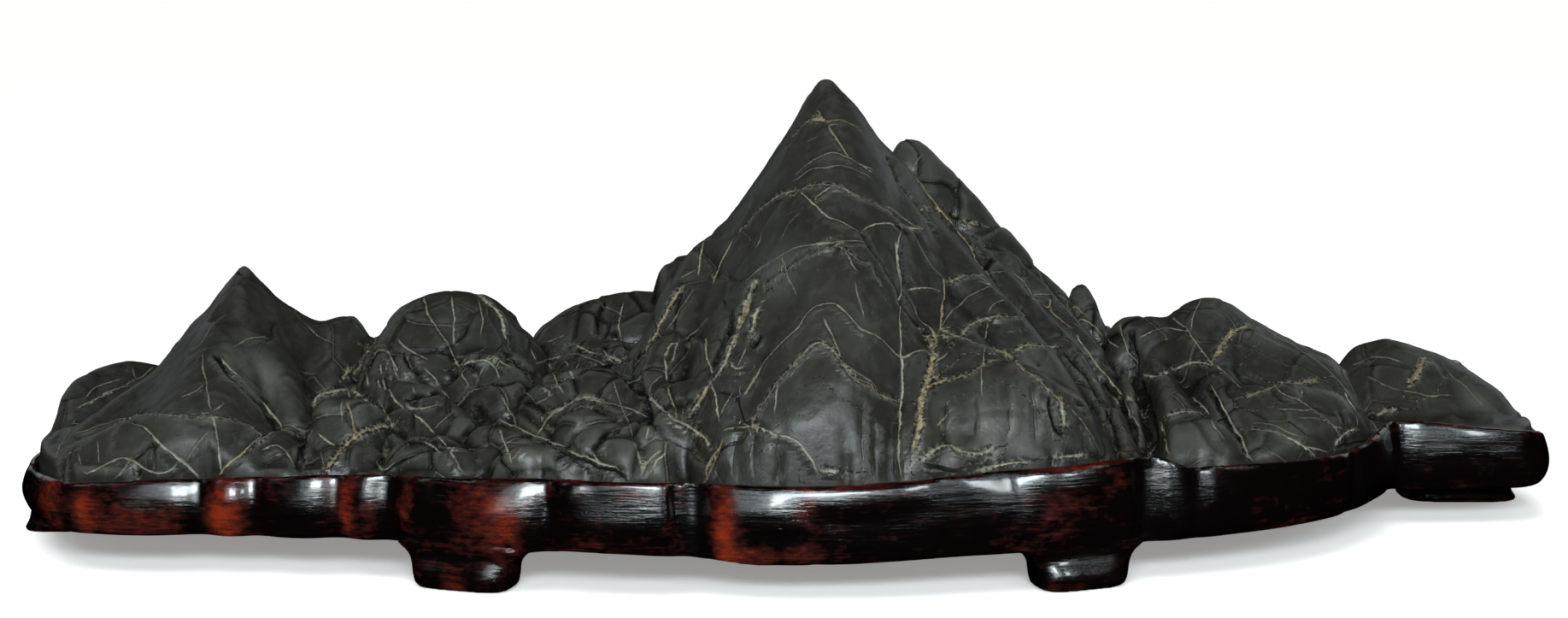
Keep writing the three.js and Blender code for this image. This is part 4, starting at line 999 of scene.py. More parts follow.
def hidden_veins(count, tree):
    """Veins that wander down and along the slopes where the camera doesn't see them."""
    rng = random.Random(7)
    x = np.array([rng.uniform(-194, 194) for _ in range(count)])
    y = np.array([rng.uniform(-72, 78) for _ in range(count)])
    turn = np.array([rng.choice(HIDDEN_TURNS) for _ in range(count)])
    drift = np.array([rng.uniform(-0.05, 0.05) for _ in range(count)])
    length = np.array([rng.choice(HIDDEN_LENGTHS) for _ in range(count)])
    tracks = [[] for _ in range(count)]
    heading = None
    for step in range(max(HIDDEN_LENGTHS)):
        inside = edge_distance(x, y)
        z = ground_height(x, y, inside)
        fall_x = z - ground_height(x + SLOPE_PROBE, y)
        fall_y = z - ground_height(x, y + SLOPE_PROBE)
        wanted = np.arctan2(fall_y, fall_x) + turn
        if heading is None:
            heading = wanted
        off = np.arctan2(np.sin(wanted - heading), np.cos(wanted - heading))
        heading = heading + HIDDEN_TURNING * off + drift + HIDDEN_WAVER * np.sin(step * 1.7 + x)
        slope = np.sqrt(1 + (fall_x ** 2 + fall_y ** 2) / SLOPE_PROBE ** 2)
        for i in range(count):
            if step < length[i] and inside[i] > HIDDEN_MARGIN:
                tracks[i].append(Vector((x[i], y[i], z[i])))
        x = x + HIDDEN_STEP / np.sqrt(slope) * np.cos(heading)
        y = y + HIDDEN_STEP / np.sqrt(slope) * np.sin(heading)
    eye = Vector(CAMERA_PLACE)
    veins = []
    for track in tracks:
        part = []
        for point in track:
            towards = (point - eye).normalized()
            seen = tree.ray_cast(eye * MM, towards)
            visible = seen[0] is not None and seen[3] / MM > (point - eye).length - SEEN_DEPTH
            broken = part and (point - part[-1][0]).length > LINE_BREAK
            if (visible or broken) and len(part) > 2:
                veins.append(part)
            if visible or broken:
                part = []
            if not visible:
                place, normal, _, _ = tree.find_nearest(point * MM)
                part.append((place / MM, normal))
        if len(part) > 2:
            veins.append(part)
    return [(rng.choice(HIDDEN_KINDS), part) for part in veins]


def sort_into_layers(lines):
    """Lines by layer, so that pale lines that run close or cross are in different layers."""
    layers = {"pale_1": [], "pale_2": [], "ochre": [], "dark": []}
    taken = {"pale_1": [], "pale_2": []}
    for kind, part in lines:
        layer = LINE_KINDS[kind][0]
        if layer != "pale":
            layers[layer].append((kind, part))
            continue
        places = np.array([point for point, _ in part[::2]])
        clashes = {}
        for name, others in taken.items():
            near = [np.abs(o[:, None] - places[None]).max(axis=2).min() for o in others
                    if np.abs(o.mean(axis=0) - places.mean(axis=0)).max() < 60]
            clashes[name] = sum(1 for value in near if value < LAYER_GAP)
        best = min(clashes, key=lambda name: (clashes[name], name))
        layers[best].append((kind, part))
        taken[best].append(places)
    return layers


def line_fields(points, tree, lines):
    """For each vertex near a line: signed distance to the nearest one, positive uphill, its
    strength and half width, and the depth of groove and height of lip that it asks for."""
    count = len(points)
    nearest = np.full(count, 9.0)
    signed = np.full(count, 9.0)
    strength, half_width = np.zeros(count), np.full(count, 0.3)
    groove, lip = np.zeros(count), np.zeros(count)
    for kind, part in lines:
        _, width, power, depth, height = LINE_KINDS[kind]
        places = np.array([point for point, _ in part])
        along = np.concatenate([[0], np.cumsum(np.linalg.norm(np.diff(places, axis=0), axis=1))])
        sides = np.cross([normal for _, normal in part[:-1]], np.diff(places, axis=0))
        uphill = 1.0 if sides[:, 2].sum() > 0 else -1.0
        reach = LIP_REACH if height > 0 else LINE_REACH
        for i in range(len(part) - 1):
            start, end = places[i], places[i + 1]
            step = end - start
            size = max(np.linalg.norm(step), 1e-6)
            found = tree.find_range(Vector((start + end) / 2), size / 2 + reach)
            index = np.array([entry[1] for entry in found], dtype=int)
            if len(index) == 0:
                continue
            share = np.clip((points[index] - start) @ step / size ** 2, 0, 1)
            away = points[index] - start - share[:, None] * step
            distance = np.linalg.norm(away, axis=1)
            closer = distance < nearest[index]
            index, away, distance, share = index[closer], away[closer], distance[closer], share[closer]
            side = uphill * sides[i]
            place = along[i] + share * size
            end_fade = np.clip(np.minimum(place, along[-1] - place) / min(1.6, 0.3 * along[-1]), 0, 1)
            nearest[index] = distance
            signed[index] = distance * np.where(away @ side < 0, -1.0, 1.0)
            strength[index] = power * np.sqrt(end_fade) * np.clip((2.0 - distance) / 0.7, 0, 1)
            half_width[index] = width
            groove[index] = depth * end_fade
            lip[index] = height * end_fade
    return signed, strength, half_width, groove, lip


def line_relief(signed, groove, lip):
    """Groove along the line and the lip below it, in millimetres."""
    low_side = np.where(signed < 0, np.exp(-np.abs(signed + 0.9) / 2.6), np.exp(-signed / 0.35) * 0.7)
    reach = np.clip((LIP_REACH - np.abs(signed)) / 2, 0, 1)
    return lip * low_side * reach - groove * np.exp(-(signed / 1.05) ** 2)


class BuildStone(bpy.types.Operator):
    """Shape the stone from its mounds, carve its lines and give it its veined, hand-rubbed skin"""
    bl_idname = "suiseki.build_stone"
    bl_label = "Build the stone"

    def execute(self, context):
        settings = context.scene.suiseki_stone
        stone = self.block(context, settings)
        mesh = stone.data
        points, net, free = self.shape_skin(mesh, settings)

        tree = surface_tree(stone)
        vertex_tree = point_tree(points)
        lines = [(kind, part) for kind, text in FRONT_LINES for part in picture_line(text, tree)]
        lines += hidden_veins(settings.vein_count, tree)
        normals = read_normals(mesh)
        rise = settings.swell * uneven(points, 15, 3, 3.1) + settings.tooth * uneven(points, 2.6, 3, 8.7)
        fields = {"net": net}
        for name, members in sort_into_layers(lines).items():
            signed, strength, half_width, groove, lip = line_fields(points, vertex_tree, members)
            fields[name] = np.stack([signed, strength, half_width], axis=1)
            rise += settings.relief * line_relief(signed, groove, lip)
        write_points(mesh, points + normals * (rise * free)[:, None])
        # Painted sheen: where the stone's colour is made paler to stand in for its soft highlights.
        fields["painted_sheen"] = np.max(spots(points, tree, PAINTED_SHEEN_PLACES, 2), axis=0)
        fields["crease"] = hollowness(mesh, 3)
        fields["hollow"] = hollowness(mesh, 26)
        for name, values in fields.items():
            write_attribute(mesh, name, values)

        # The flat underside is hidden, and a few faces are enough.
        underside = [
            face.normal.z < -0.9 and face.center.z < (SEAT_HEIGHT + 0.6) * MM for face in mesh.polygons]
        deselect_all()
        stone.select_set(True)
        context.view_layer.objects.active = stone
        edit_faces(mesh, underside)
        bpy.ops.mesh.dissolve_faces()
        bpy.ops.mesh.quads_convert_to_tris()
        bpy.ops.object.mode_set(mode="OBJECT")
        bpy.ops.object.shade_smooth()
        stone.data.materials.append(stone_material(settings))
        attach(stone, "root")
        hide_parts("stone")
        return {"FINISHED"}

    def block(self, context, settings):
        """A closed block over the stone's outline, up to the ground that the mounds make."""
        deselect_all()
        columns, rows = ((420, 190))
        bpy.ops.mesh.primitive_grid_add(x_subdivisions=columns, y_subdivisions=rows, size=2)
        stone = context.object
        stone.name = "mountain_stone"
        mesh = stone.data
        grid = read_points(mesh) * MM
        low, high = STONE_EDGE[:, 0].argmin(), STONE_EDGE[:, 0].argmax()
        around = np.roll(STONE_EDGE, -low, axis=0)
        turn = (high - low) % len(STONE_EDGE)
        front, back = around[:turn + 1], np.vstack([around[turn:], around[:1]])[::-1]
        middle = (front[0, 0] + front[-1, 0]) / 2
        half = (front[-1, 0] - front[0, 0]) / 2
        x = middle + half * (1.5 * grid[:, 0] - 0.5 * grid[:, 0] ** 3)
        near = np.interp(x, np.maximum.accumulate(front[:, 0]), front[:, 1])
        far = np.interp(x, np.maximum.accumulate(back[:, 0]), back[:, 1])
        y = near + (grid[:, 1] + 1) / 2 * (far - near)
        write_points(mesh, np.stack([x, y, np.full(len(x), SEAT_HEIGHT)], axis=1))
        bpy.ops.object.mode_set(mode="EDIT")
        bpy.ops.mesh.select_all(action="SELECT")
        bpy.ops.mesh.extrude_region_move()
        bpy.ops.object.mode_set(mode="OBJECT")
        points = read_points(mesh)
        points[len(x):, 2] = ground_height(points[len(x):, 0], points[len(x):, 1])
        write_points(mesh, points)
        face_outward()
        step = settings.skin_step
        apply_modifier(stone, "REMESH", mode="VOXEL", voxel_size=step * MM, use_smooth_shade=True)
        return stone

    def shape_skin(self, mesh, settings):
        """Bring the skin back to its ground, wear it smooth and split it into facets. Gives its
        points, the facets' edges and how freely each point may still move."""
        points = read_points(mesh)
        inside = edge_distance(points[:, 0], points[:, 1])
        height = ground_height(points[:, 0], points[:, 1], inside)
        skin = (read_normals(mesh)[:, 2] > 0.2) & (points[:, 2] > SIDE_HEIGHT - 0.5) & (inside > 0.4)
        skin &= np.abs(height - points[:, 2]) < 4
        points[skin, 2] = height[skin]
        write_points(mesh, points)

        worn = worn_share(points[:, 0], points[:, 1])
        loose = worn * smooth_step(1.5, 5, inside)
        for px, py in PEAKS:
            loose *= 1 - np.exp(-((points[:, 0] - px) ** 2 + (points[:, 1] - py) ** 2) / PEAK_SPREAD)
        edges = read_edges(mesh)
        for _ in range(settings.wear):
            points += WEAR_RATE * loose[:, None] * (neighbour_mean(edges, points) - points)
        write_points(mesh, points)

        # Facets stand less where the stone is worn and in the cleft, and their edges fade there.
        split, net = facets(points)
        cleft = np.exp(-((points[:, 0] - CLEFT[0]) / CLEFT[1]) ** 2)
        cleft *= smooth_step(14, 4, points[:, 1])
        split *= (1 - 0.85 * worn) * (1 - 0.9 * cleft)
        worn = np.maximum(worn, cleft)
        net[:, 1] += 0.9 * worn * (0.32 - net[:, 1])
        net[:, 2] -= worn
        free = smooth_step(SIDE_HEIGHT - 1, SIDE_HEIGHT + 3, points[:, 2])
        free *= smooth_step(1.0, 4.5, inside)
        points += read_normals(mesh) * (split * free * settings.split)[:, None]
        write_points(mesh, points)
        return points, net, free


def stone_material(settings):
    """Fine-grained black limestone, water-worn and then rubbed by hand with wax: a dark body with
    a soft sheen, cream calcite veins, iron-stained ones and shut cracks."""
    material, tree = new_material("hand-rubbed black limestone")

    # Noise at the sizes, in millimetres, at which the stone changes, and one drawn out upright.
    place = add_node(tree, "TexCoord").outputs["Object"]
    drawn = add_node(
        tree, "Mapping", {"Scale": (1.0, 1.0, 0.16), "Rotation": (0.35, 0.1, 0.0)}, {"Vector": place})
    waves = {}
    for name, source, size, detail, roughness in (
            ("cloud", place, 42, 3, 0.55), ("patch", place, 13, 3, 0.6), ("fleck", place, 4.2, 3, 0.6),
            ("grain", place, 1.1, 4, 0.65), ("streak", drawn, 3.2, 3, 0.6)):
        waves[name] = add_node(
            tree, "TexNoise", {"Scale": 1000 / size, "Detail": detail, "Roughness": roughness},
            {"Vector": source})

    # What the stone carries at each point: lines by layer, facet edges, how hollow it is, and where a
    # sheen is painted into its colour.
    vectors = {}
    for name in ("pale_1", "pale_2", "ochre", "dark", "net"):
        field = add_node(tree, "Attribute", {"attribute_name": name}).outputs["Vector"]
        vectors[name] = add_node(tree, "SeparateXYZ", {}, {0: field}).outputs
    net = vectors.pop("net")
    crease, hollow, painted_sheen = (
        add_node(tree, "Attribute", {"attribute_name": name}).outputs["Fac"]
        for name in ("crease", "hollow", "painted_sheen"))

    # Shares of a source: where it starts and ends, and the share at its start and end.
    shares = {}
    for name, source, low, high, start, end in (
            ("fade", waves["patch"], 0.36, 0.58, 0.6, 1.0),
            ("beads", waves["grain"], 0.38, 0.58, 0.5, 1.0),
            ("vary", waves["fleck"], 0.36, 0.64, 0.55, 1.35),
            ("grit", waves["grain"], 0.5, 0.6, 0.0, 0.7),
            ("pits", waves["grain"], 0.5, 0.42, 0.0, 0.8),
            ("pale_edge", net["Y"], 0.4, 0.9, 0.0, 0.6),
            ("cloud", waves["cloud"], 0.35, 0.66, 0.0, 1.0),
            ("spots", waves["fleck"], 0.42, 0.7, 0.0, 0.75),
            ("drawn_out", waves["streak"], 0.52, 0.74, 0.0, 0.5),
            ("rubbed", crease, -0.03, -0.16, 0.0, 0.45),
            # Painted shade: the next two darken the colour in hollows and in creases.
            ("deep", hollow, 0.12, 0.75, 0.0, 0.92),
            ("painted_crease_shade", crease, 0.03, 0.21, 0.0, 0.9),
            ("dust_here", waves["fleck"], 0.5, 0.66, 0.0, 1.0),
            ("dust_deep", crease, 0.05, 0.3, 0.0, 0.5),
            ("shine", waves["patch"], 0.3, 0.7, 0.33, 0.46)):
        shares[name] = add_node(
            tree, "MapRange", {"From Min": low, "From Max": high, "To Min": start, "To Max": end},
            {"Value": source})

    # Lines wander a little to each side, and fade in and out.
    wide = add_node(tree, "Math", {"operation": "MULTIPLY_ADD", 1: 0.9, 2: -0.45}, {0: waves["fleck"]})
    fine = add_node(tree, "Math", {"operation": "MULTIPLY_ADD", 1: 0.7, 2: -0.35}, {0: waves["grain"]})
    wander = add_node(tree, "Math", {"operation": "ADD"}, {0: wide, 1: fine})
    broken = add_node(tree, "Math", {"operation": "MULTIPLY"}, {0: shares["fade"], 1: shares["beads"]})
    soft = {"interpolation_type": "SMOOTHSTEP", "To Min": 1.0, "To Max": 0.0}
    lines, lips, borders = {}, {}, {}
    for name, parts in vectors.items():
        shifted = add_node(tree, "Math", {"operation": "ADD"}, {0: parts["X"], 1: wander})
        away = add_node(tree, "Math", {"operation": "ABSOLUTE"}, {0: shifted})
        wide = add_node(tree, "Math", {"operation": "MULTIPLY"}, {0: parts["Z"], 1: shares["vary"]})
        share = add_node(tree, "Math", {"operation": "DIVIDE"}, {0: away, 1: wide})
        core = add_node(tree, "MapRange", {**soft, "From Min": 0.35, "From Max": 1.5}, {"Value": share})
        strong = add_node(tree, "Math", {"operation": "MULTIPLY"}, {0: core, 1: parts["Y"]})
        lines[name] = add_node(
            tree, "Math", {"operation": "MULTIPLY", "use_clamp": True},
            {0: strong, 1: shares["fade"] if name == "dark" else broken})
        border = add_node(tree, "MapRange", {**soft, "From Min": 0.5, "From Max": 1.8}, {"Value": away})
        rough = add_node(tree, "MapRange", {"From Min": 0.3, "From Max": 0.36}, {"Value": parts["Z"]})
        borders[name] = add_node(tree, "Math", {"operation": "MULTIPLY"}, {0: border, 1: rough})
        low_side = add_node(
            tree, "MapRange",
            {"interpolation_type": "SMOOTHSTEP", "From Min": 0.45, "From Max": -0.3}, {"Value": shifted})
        lips[name] = add_node(tree, "Math", {"operation": "MULTIPLY"}, {0: low_side, 1: parts["Y"]})
    pale = add_node(tree, "Math", {"operation": "MAXIMUM"}, {0: lines["pale_1"], 1: lines["pale_2"]})
    beside = add_node(
        tree, "Math", {"operation": "MAXIMUM"}, {0: borders["pale_1"], 1: borders["pale_2"]})
    beside = add_node(tree, "Math", {"operation": "MAXIMUM"}, {0: beside, 1: borders["ochre"]})
    gritty = add_node(tree, "Math", {"operation": "MULTIPLY"}, {0: beside, 1: shares["grit"]})
    pitted = add_node(tree, "Math", {"operation": "MULTIPLY"}, {0: beside, 1: shares["pits"]})

    # Hairlines along some of the edges between facets, and shut cracks along others.
    shifted = add_node(tree, "Math", {"operation": "MULTIPLY_ADD", 1: 0.6}, {0: wander, 2: net["X"]})
    away = add_node(tree, "Math", {"operation": "ABSOLUTE"}, {0: shifted})
    hair = add_node(tree, "MapRange", {**soft, "From Min": 0.06, "From Max": 0.32}, {"Value": away})
    hair_here = add_node(tree, "Math", {"operation": "MULTIPLY"}, {0: shares["pale_edge"], 1: broken})
    hairline = add_node(tree, "Math", {"operation": "MULTIPLY"}, {0: hair, 1: hair_here})
    low_edge = add_node(tree, "Math", {"operation": "LESS_THAN", 1: 0.26}, {0: net["Y"]})
    shut = add_node(tree, "Math", {"operation": "MULTIPLY"}, {0: hair, 1: low_edge})
    # Painted shade: a dark band beside the edges between facets, less where the stone is worn.
    gap = add_node(
        tree, "MapRange", {**soft, "From Min": 0.0, "From Max": 1.3, "To Min": 0.75}, {"Value": away})
    gap = add_node(tree, "Math", {"operation": "MULTIPLY"}, {0: gap, 1: net["Z"]})

    # Body: olive black, greyer and browner in clouds, paler where hands and water rub the edges,
    # and dusty in the creases. A painted sheen makes it paler at the listed places, and painted
    # shade darkens it in hollows, creases and beside the edges between facets. The lines lie over it.
    # Painted sheen: a paler grey where the stone's soft highlights fall.
    painted_sheen_share = add_node(tree, "Math", {"operation": "MULTIPLY", 1: 0.62}, {0: painted_sheen})
    # Painted shade: near black in hollows, creases and beside the edges between facets.
    painted_shade = add_node(
        tree, "Math", {"operation": "MAXIMUM"}, {0: shares["deep"], 1: shares["painted_crease_shade"]})
    painted_shade = add_node(tree, "Math", {"operation": "MAXIMUM"}, {0: painted_shade, 1: gap})
    dust = add_node(
        tree, "Math", {"operation": "MULTIPLY"}, {0: shares["dust_here"], 1: shares["dust_deep"]})
    tone = add_node(
        tree, "Mix", {"data_type": "RGBA", 6: linear(tuple(settings.body)), 7: linear("#24231e")},
        {0: shares["cloud"]}).outputs[2]
    for share, colour in (
            (shares["spots"], "#272722"), (shares["drawn_out"], "#2f2f2b"), (shares["rubbed"], "#42423d"),
            (painted_sheen_share, "#53564f"), (painted_shade, "#0b0b09"), (dust, "#625d4d"), (shut, "#0c0c0b"),
            # Dark lines: near black, partly dark cracks and partly painted shade in grooves and clefts.
            (hairline, "#716d5d"), (pitted, "#10100e"), (gritty, "#6e6b5e"), (lines["dark"], "#0a0a09"),
            (pale, tuple(settings.vein)), (lines["ochre"], tuple(settings.stain))):
        tone = add_node(
            tree, "Mix", {"data_type": "RGBA", 7: linear(colour)}, {0: share, 6: tone}).outputs[2]

    # Rubbed stone shines softly; veins, dust and cracks stay matt.
    veins = add_node(tree, "Math", {"operation": "MAXIMUM"}, {0: pale, 1: lines["ochre"]})
    matt = add_node(tree, "Math", {"operation": "MAXIMUM"}, {0: veins, 1: dust})
    roughness = add_node(
        tree, "Math", {"operation": "MULTIPLY_ADD", 1: 0.3}, {0: matt, 2: shares["shine"]})

    # Relief in millimetres: grain, drawn-out ribs, raised veins and cut cracks.
    relief = add_node(tree, "Math", {"operation": "MULTIPLY", 1: 0.05}, {0: waves["grain"]})
    for source, height in (
            (waves["fleck"], 0.14), (waves["streak"], 0.10), (hairline, -0.10), (pale, 0.06),
            (lines["ochre"], 0.06), (lines["dark"], -0.5), (lips["pale_1"], 0.34),
            (lips["pale_2"], 0.34), (lips["ochre"], 0.3), (lips["dark"], 0.45), (pitted, -0.35),
            (shut, -0.2)):
        relief = add_node(
            tree, "Math", {"operation": "MULTIPLY_ADD", 1: height}, {0: source, 2: relief})
    bump = add_node(tree, "Bump", {"Strength": 1.0, "Distance": MM}, {"Height": relief})
    shader = add_node(
        tree, "BsdfPrincipled", {"IOR": 1.5, "Specular IOR Level": 0.36},
        {"Base Color": tone, "Roughness": roughness, "Normal": bump})
    add_node(tree, "OutputMaterial", {}, {"Surface": shader})
    return material


# The stand.

def loft(name, rings):
    """A closed shell through rings of equal count: a filled circle, extruded ring by ring."""
    count = len(rings[0])
    deselect_all()
    bpy.ops.mesh.primitive_circle_add(vertices=count, radius=1, fill_type="NGON")
    shell = bpy.context.object
    shell.name = name
    bpy.ops.object.mode_set(mode="EDIT")
    bpy.ops.mesh.select_all(action="SELECT")
    bpy.ops.object.mode_set(mode="OBJECT")
    write_points(shell.data, rings[0])
    for below, ring in zip(rings[:-1], rings[1:]):
        bpy.ops.object.mode_set(mode="EDIT")
        bpy.ops.mesh.extrude_region_move()
        bpy.ops.object.mode_set(mode="OBJECT")
        chosen = np.empty(len(shell.data.vertices), dtype=bool)
        shell.data.vertices.foreach_get("select", chosen)
        points = read_points(shell.data)
        tree = point_tree(below)
        order = [tree.find(point)[1] for point in points[chosen].tolist()]
        if sorted(order) != list(range(count)):
            raise RuntimeError(f"{name} wasn't extruded ring by ring")
        points[chosen] = ring[order]
        write_points(shell.data, points)
    face_outward()
    return shell


def wall_rings(count):
    """Rings of the wall from its underside over the rim to the floor of the recess."""
    outline = even_points(stand_outline(NOTCH_SOFTENING), count)
    gouge = np.zeros(count)
    for (nx, ny, _, _), depth in zip(LOBES, NOTCH_DEPTH):
        near = np.hypot(outline[:, 0] - nx, outline[:, 1] - ny)
        gouge += depth * np.exp(-near ** 2 / (7.5 * max(depth, 0.5)))
    rings = []
    for share, inset in WALL_PROFILE:
        ring = moved_in(outline, inset)
        step = np.roll(ring, -2, axis=0)[:, :2] - np.roll(ring, 2, axis=0)[:, :2]
        step /= np.linalg.norm(step, axis=1)[:, None]
        cut = np.minimum(gouge, max(2.9 - inset, 0))
        x = ring[:, 0] - cut * step[:, 1]
        y = ring[:, 1] + cut * step[:, 0]
        rings.append(np.stack([x, y, FOOT_HEIGHT + share * (ring[:, 2] - FOOT_HEIGHT)], axis=1))
    offset = np.interp(outline[:, 0], *zip(*LOWER_EDGE)) * smooth_step(-40, -60, outline[:, 1])
    for (share, _), ring in zip(WALL_PROFILE, rings):
        ring[:, 2] += offset * max(1 - 2 * share, 0)
    inner = moved_in(outline, WALL_IN)
    rings.append(np.stack([inner[:, 0], inner[:, 1], np.full(count, FLOOR_HEIGHT)], axis=1))
    return rings


def foot_rings(x, y, turn, length, depth):
    """Rings of a foot from its pad up into the wall. The pads of the two end feet splay out."""
    around = 2 * np.pi * (np.arange(FOOT_POINTS) + 0.5) / FOOT_POINTS
    c, s = np.cos(around), np.sin(around)
    a = math.radians(turn)
    at_end = abs(x) > END_FEET_BEYOND
    rings = []
    for height, face, sides in FOOT_PROFILE:
        if at_end:
            splay = END_SPLAY * max(1 - height / END_SPLAY_HEIGHT, 0)
            face = min(face, 1.6) - splay
            sides = sides - 0.5 * splay
        across, through = (face, sides) if at_end else (sides, face)
        px = (length / 2 - across) * np.sign(c) * np.abs(c) ** FOOT_ROUNDING
        py = (depth / 2 - through) * np.sign(s) * np.abs(s) ** FOOT_ROUNDING
        rings.append(np.stack([
            x + px * math.cos(a) - py * math.sin(a),
            y + px * math.sin(a) + py * math.cos(a),
            np.full(len(around), height)], axis=1))
    return rings


class BuildStand(bpy.types.Operator):
    """Carve the stand with its lobed wall, recess and six feet, and lacquer it black over red"""
    bl_idname = "suiseki.build_stand"
    bl_label = "Build the stand"

    def execute(self, context):
        settings = context.scene.suiseki_stand
        count = settings.outline_points
        stand = loft("carved_stand", wall_rings(count))
        feet = [loft(f"foot_{i}", foot_rings(*foot)) for i, foot in enumerate(FEET)]
        deselect_all()
        for piece in [*feet, stand]:
            piece.select_set(True)
        context.view_layer.objects.active = stand
        bpy.ops.object.join()
        step = settings.skin_step
        apply_modifier(stand, "REMESH", mode="VOXEL", voxel_size=step * MM, use_smooth_shade=True)
        apply_modifier(stand, "SMOOTH", factor=0.5, iterations=3)

        # Flat floor and underside: their faces are hidden, and a few are enough.
        mesh = stand.data
        normals = read_values(mesh.polygons, "normal")
        centres = read_values(mesh.polygons, "center") / MM
        inner = np.array([EDGE_TREE.find((px, py, 0))[2] for px, py, _ in centres.tolist()]) > 3
        flat = (np.abs(normals[:, 2]) > 0.999) & inner & (centres[:, 2] > 8) & (centres[:, 2] < 16)
        edit_faces(mesh, flat)
        bpy.ops.mesh.decimate(ratio=HIDDEN_FACES_KEPT)
        bpy.ops.object.mode_set(mode="OBJECT")

        points = read_points(mesh)
        normals = read_normals(mesh)
        tree = surface_tree(stand)
        carve = np.zeros(len(points))
        for _, u, v, along_reach, up_reach, depth, power in CARVED_PLACES:
            near = nearness(points, tree, u, v, along_reach, up_reach)
            carve += depth * np.exp(-near ** power)
        carve *= smooth_step(0.3, -0.2, normals[:, 1])
        carve += settings.swell * uneven(points * (1, 1, 1.5), 17, 2, 5.5)
        outward = normals.copy()
        outward[:, 2] *= 0.3
        lowest = points[:, 2] < 0.6
        points = points - outward * carve[:, None]
        points[lowest, 2] = np.where(normals[lowest, 2] < -0.9, 0.0, points[lowest, 2])
        write_points(mesh, points)

        # The front left is rubbed a little all over.
        rubbed = 0.24 * smooth_step(-10, -60, points[:, 0]) * smooth_step(-10, -40, points[:, 1])
        for spot in spots(points, tree, RUBBED_PLACES, 2.4):
            rubbed += spot

        # The back, which the picture doesn't show, is rubbed in scattered places.
        rng = random.Random(11)
        outline = even_points(OUTLINE, 1000)
        behind = outline[(outline[:, 1] > -2) & (outline[:, 0] < 185)]
        for _ in range(BACK_RED_COUNT):
            place = behind[rng.randrange(len(behind))]
            height = rng.uniform(10, place[2])
            strength = rng.uniform(*BACK_RED_STRENGTH)
            reach = rng.uniform(*BACK_RED_REACH)
            away = np.hypot(points[:, 0] - place[0], points[:, 1] - place[1]) / reach
            rubbed += strength * np.exp(-(away ** 2 + ((points[:, 2] - height) / BACK_RED_HEIGHT) ** 2))
        dull = np.max(spots(points, tree, DULL_PLACES, 3), axis=0)
        write_attribute(mesh, "dull", dull)
        write_attribute(mesh, "rubbed", rubbed)
        write_attribute(mesh, "edge", hollowness(mesh, 5))
        write_attribute(mesh, "wall", self.wall_coordinates(points))
        bpy.ops.object.shade_smooth()
        stand.data.materials.append(stand_material(settings))
        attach(stand, "root")
        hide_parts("stand")
        return {"FINISHED"}

    def wall_coordinates(self, points):
        """Length along the wall, distance in from it, and height, in metres."""
        start = int(np.hypot(*(OUTLINE[:, :2] - WALL_START).T).argmin())
        outline = np.roll(OUTLINE, -start, axis=0)
        along = along_line(outline)
        tree = point_tree(outline * (1, 1, 0))
        found = [tree.find((x, y, 0)) for x, y, _ in points.tolist()]
        index = np.array([entry[1] for entry in found])
        step = np.roll(outline, -1, axis=0)[index, :2] - outline[index, :2]
        step /= np.linalg.norm(step, axis=1)[:, None]
        past = ((points[:, :2] - outline[index, :2]) * step).sum(axis=1)
        inset = np.array([entry[2] for entry in found])
        return np.stack([along[index] + past, inset, points[:, 2]], axis=1) * MM


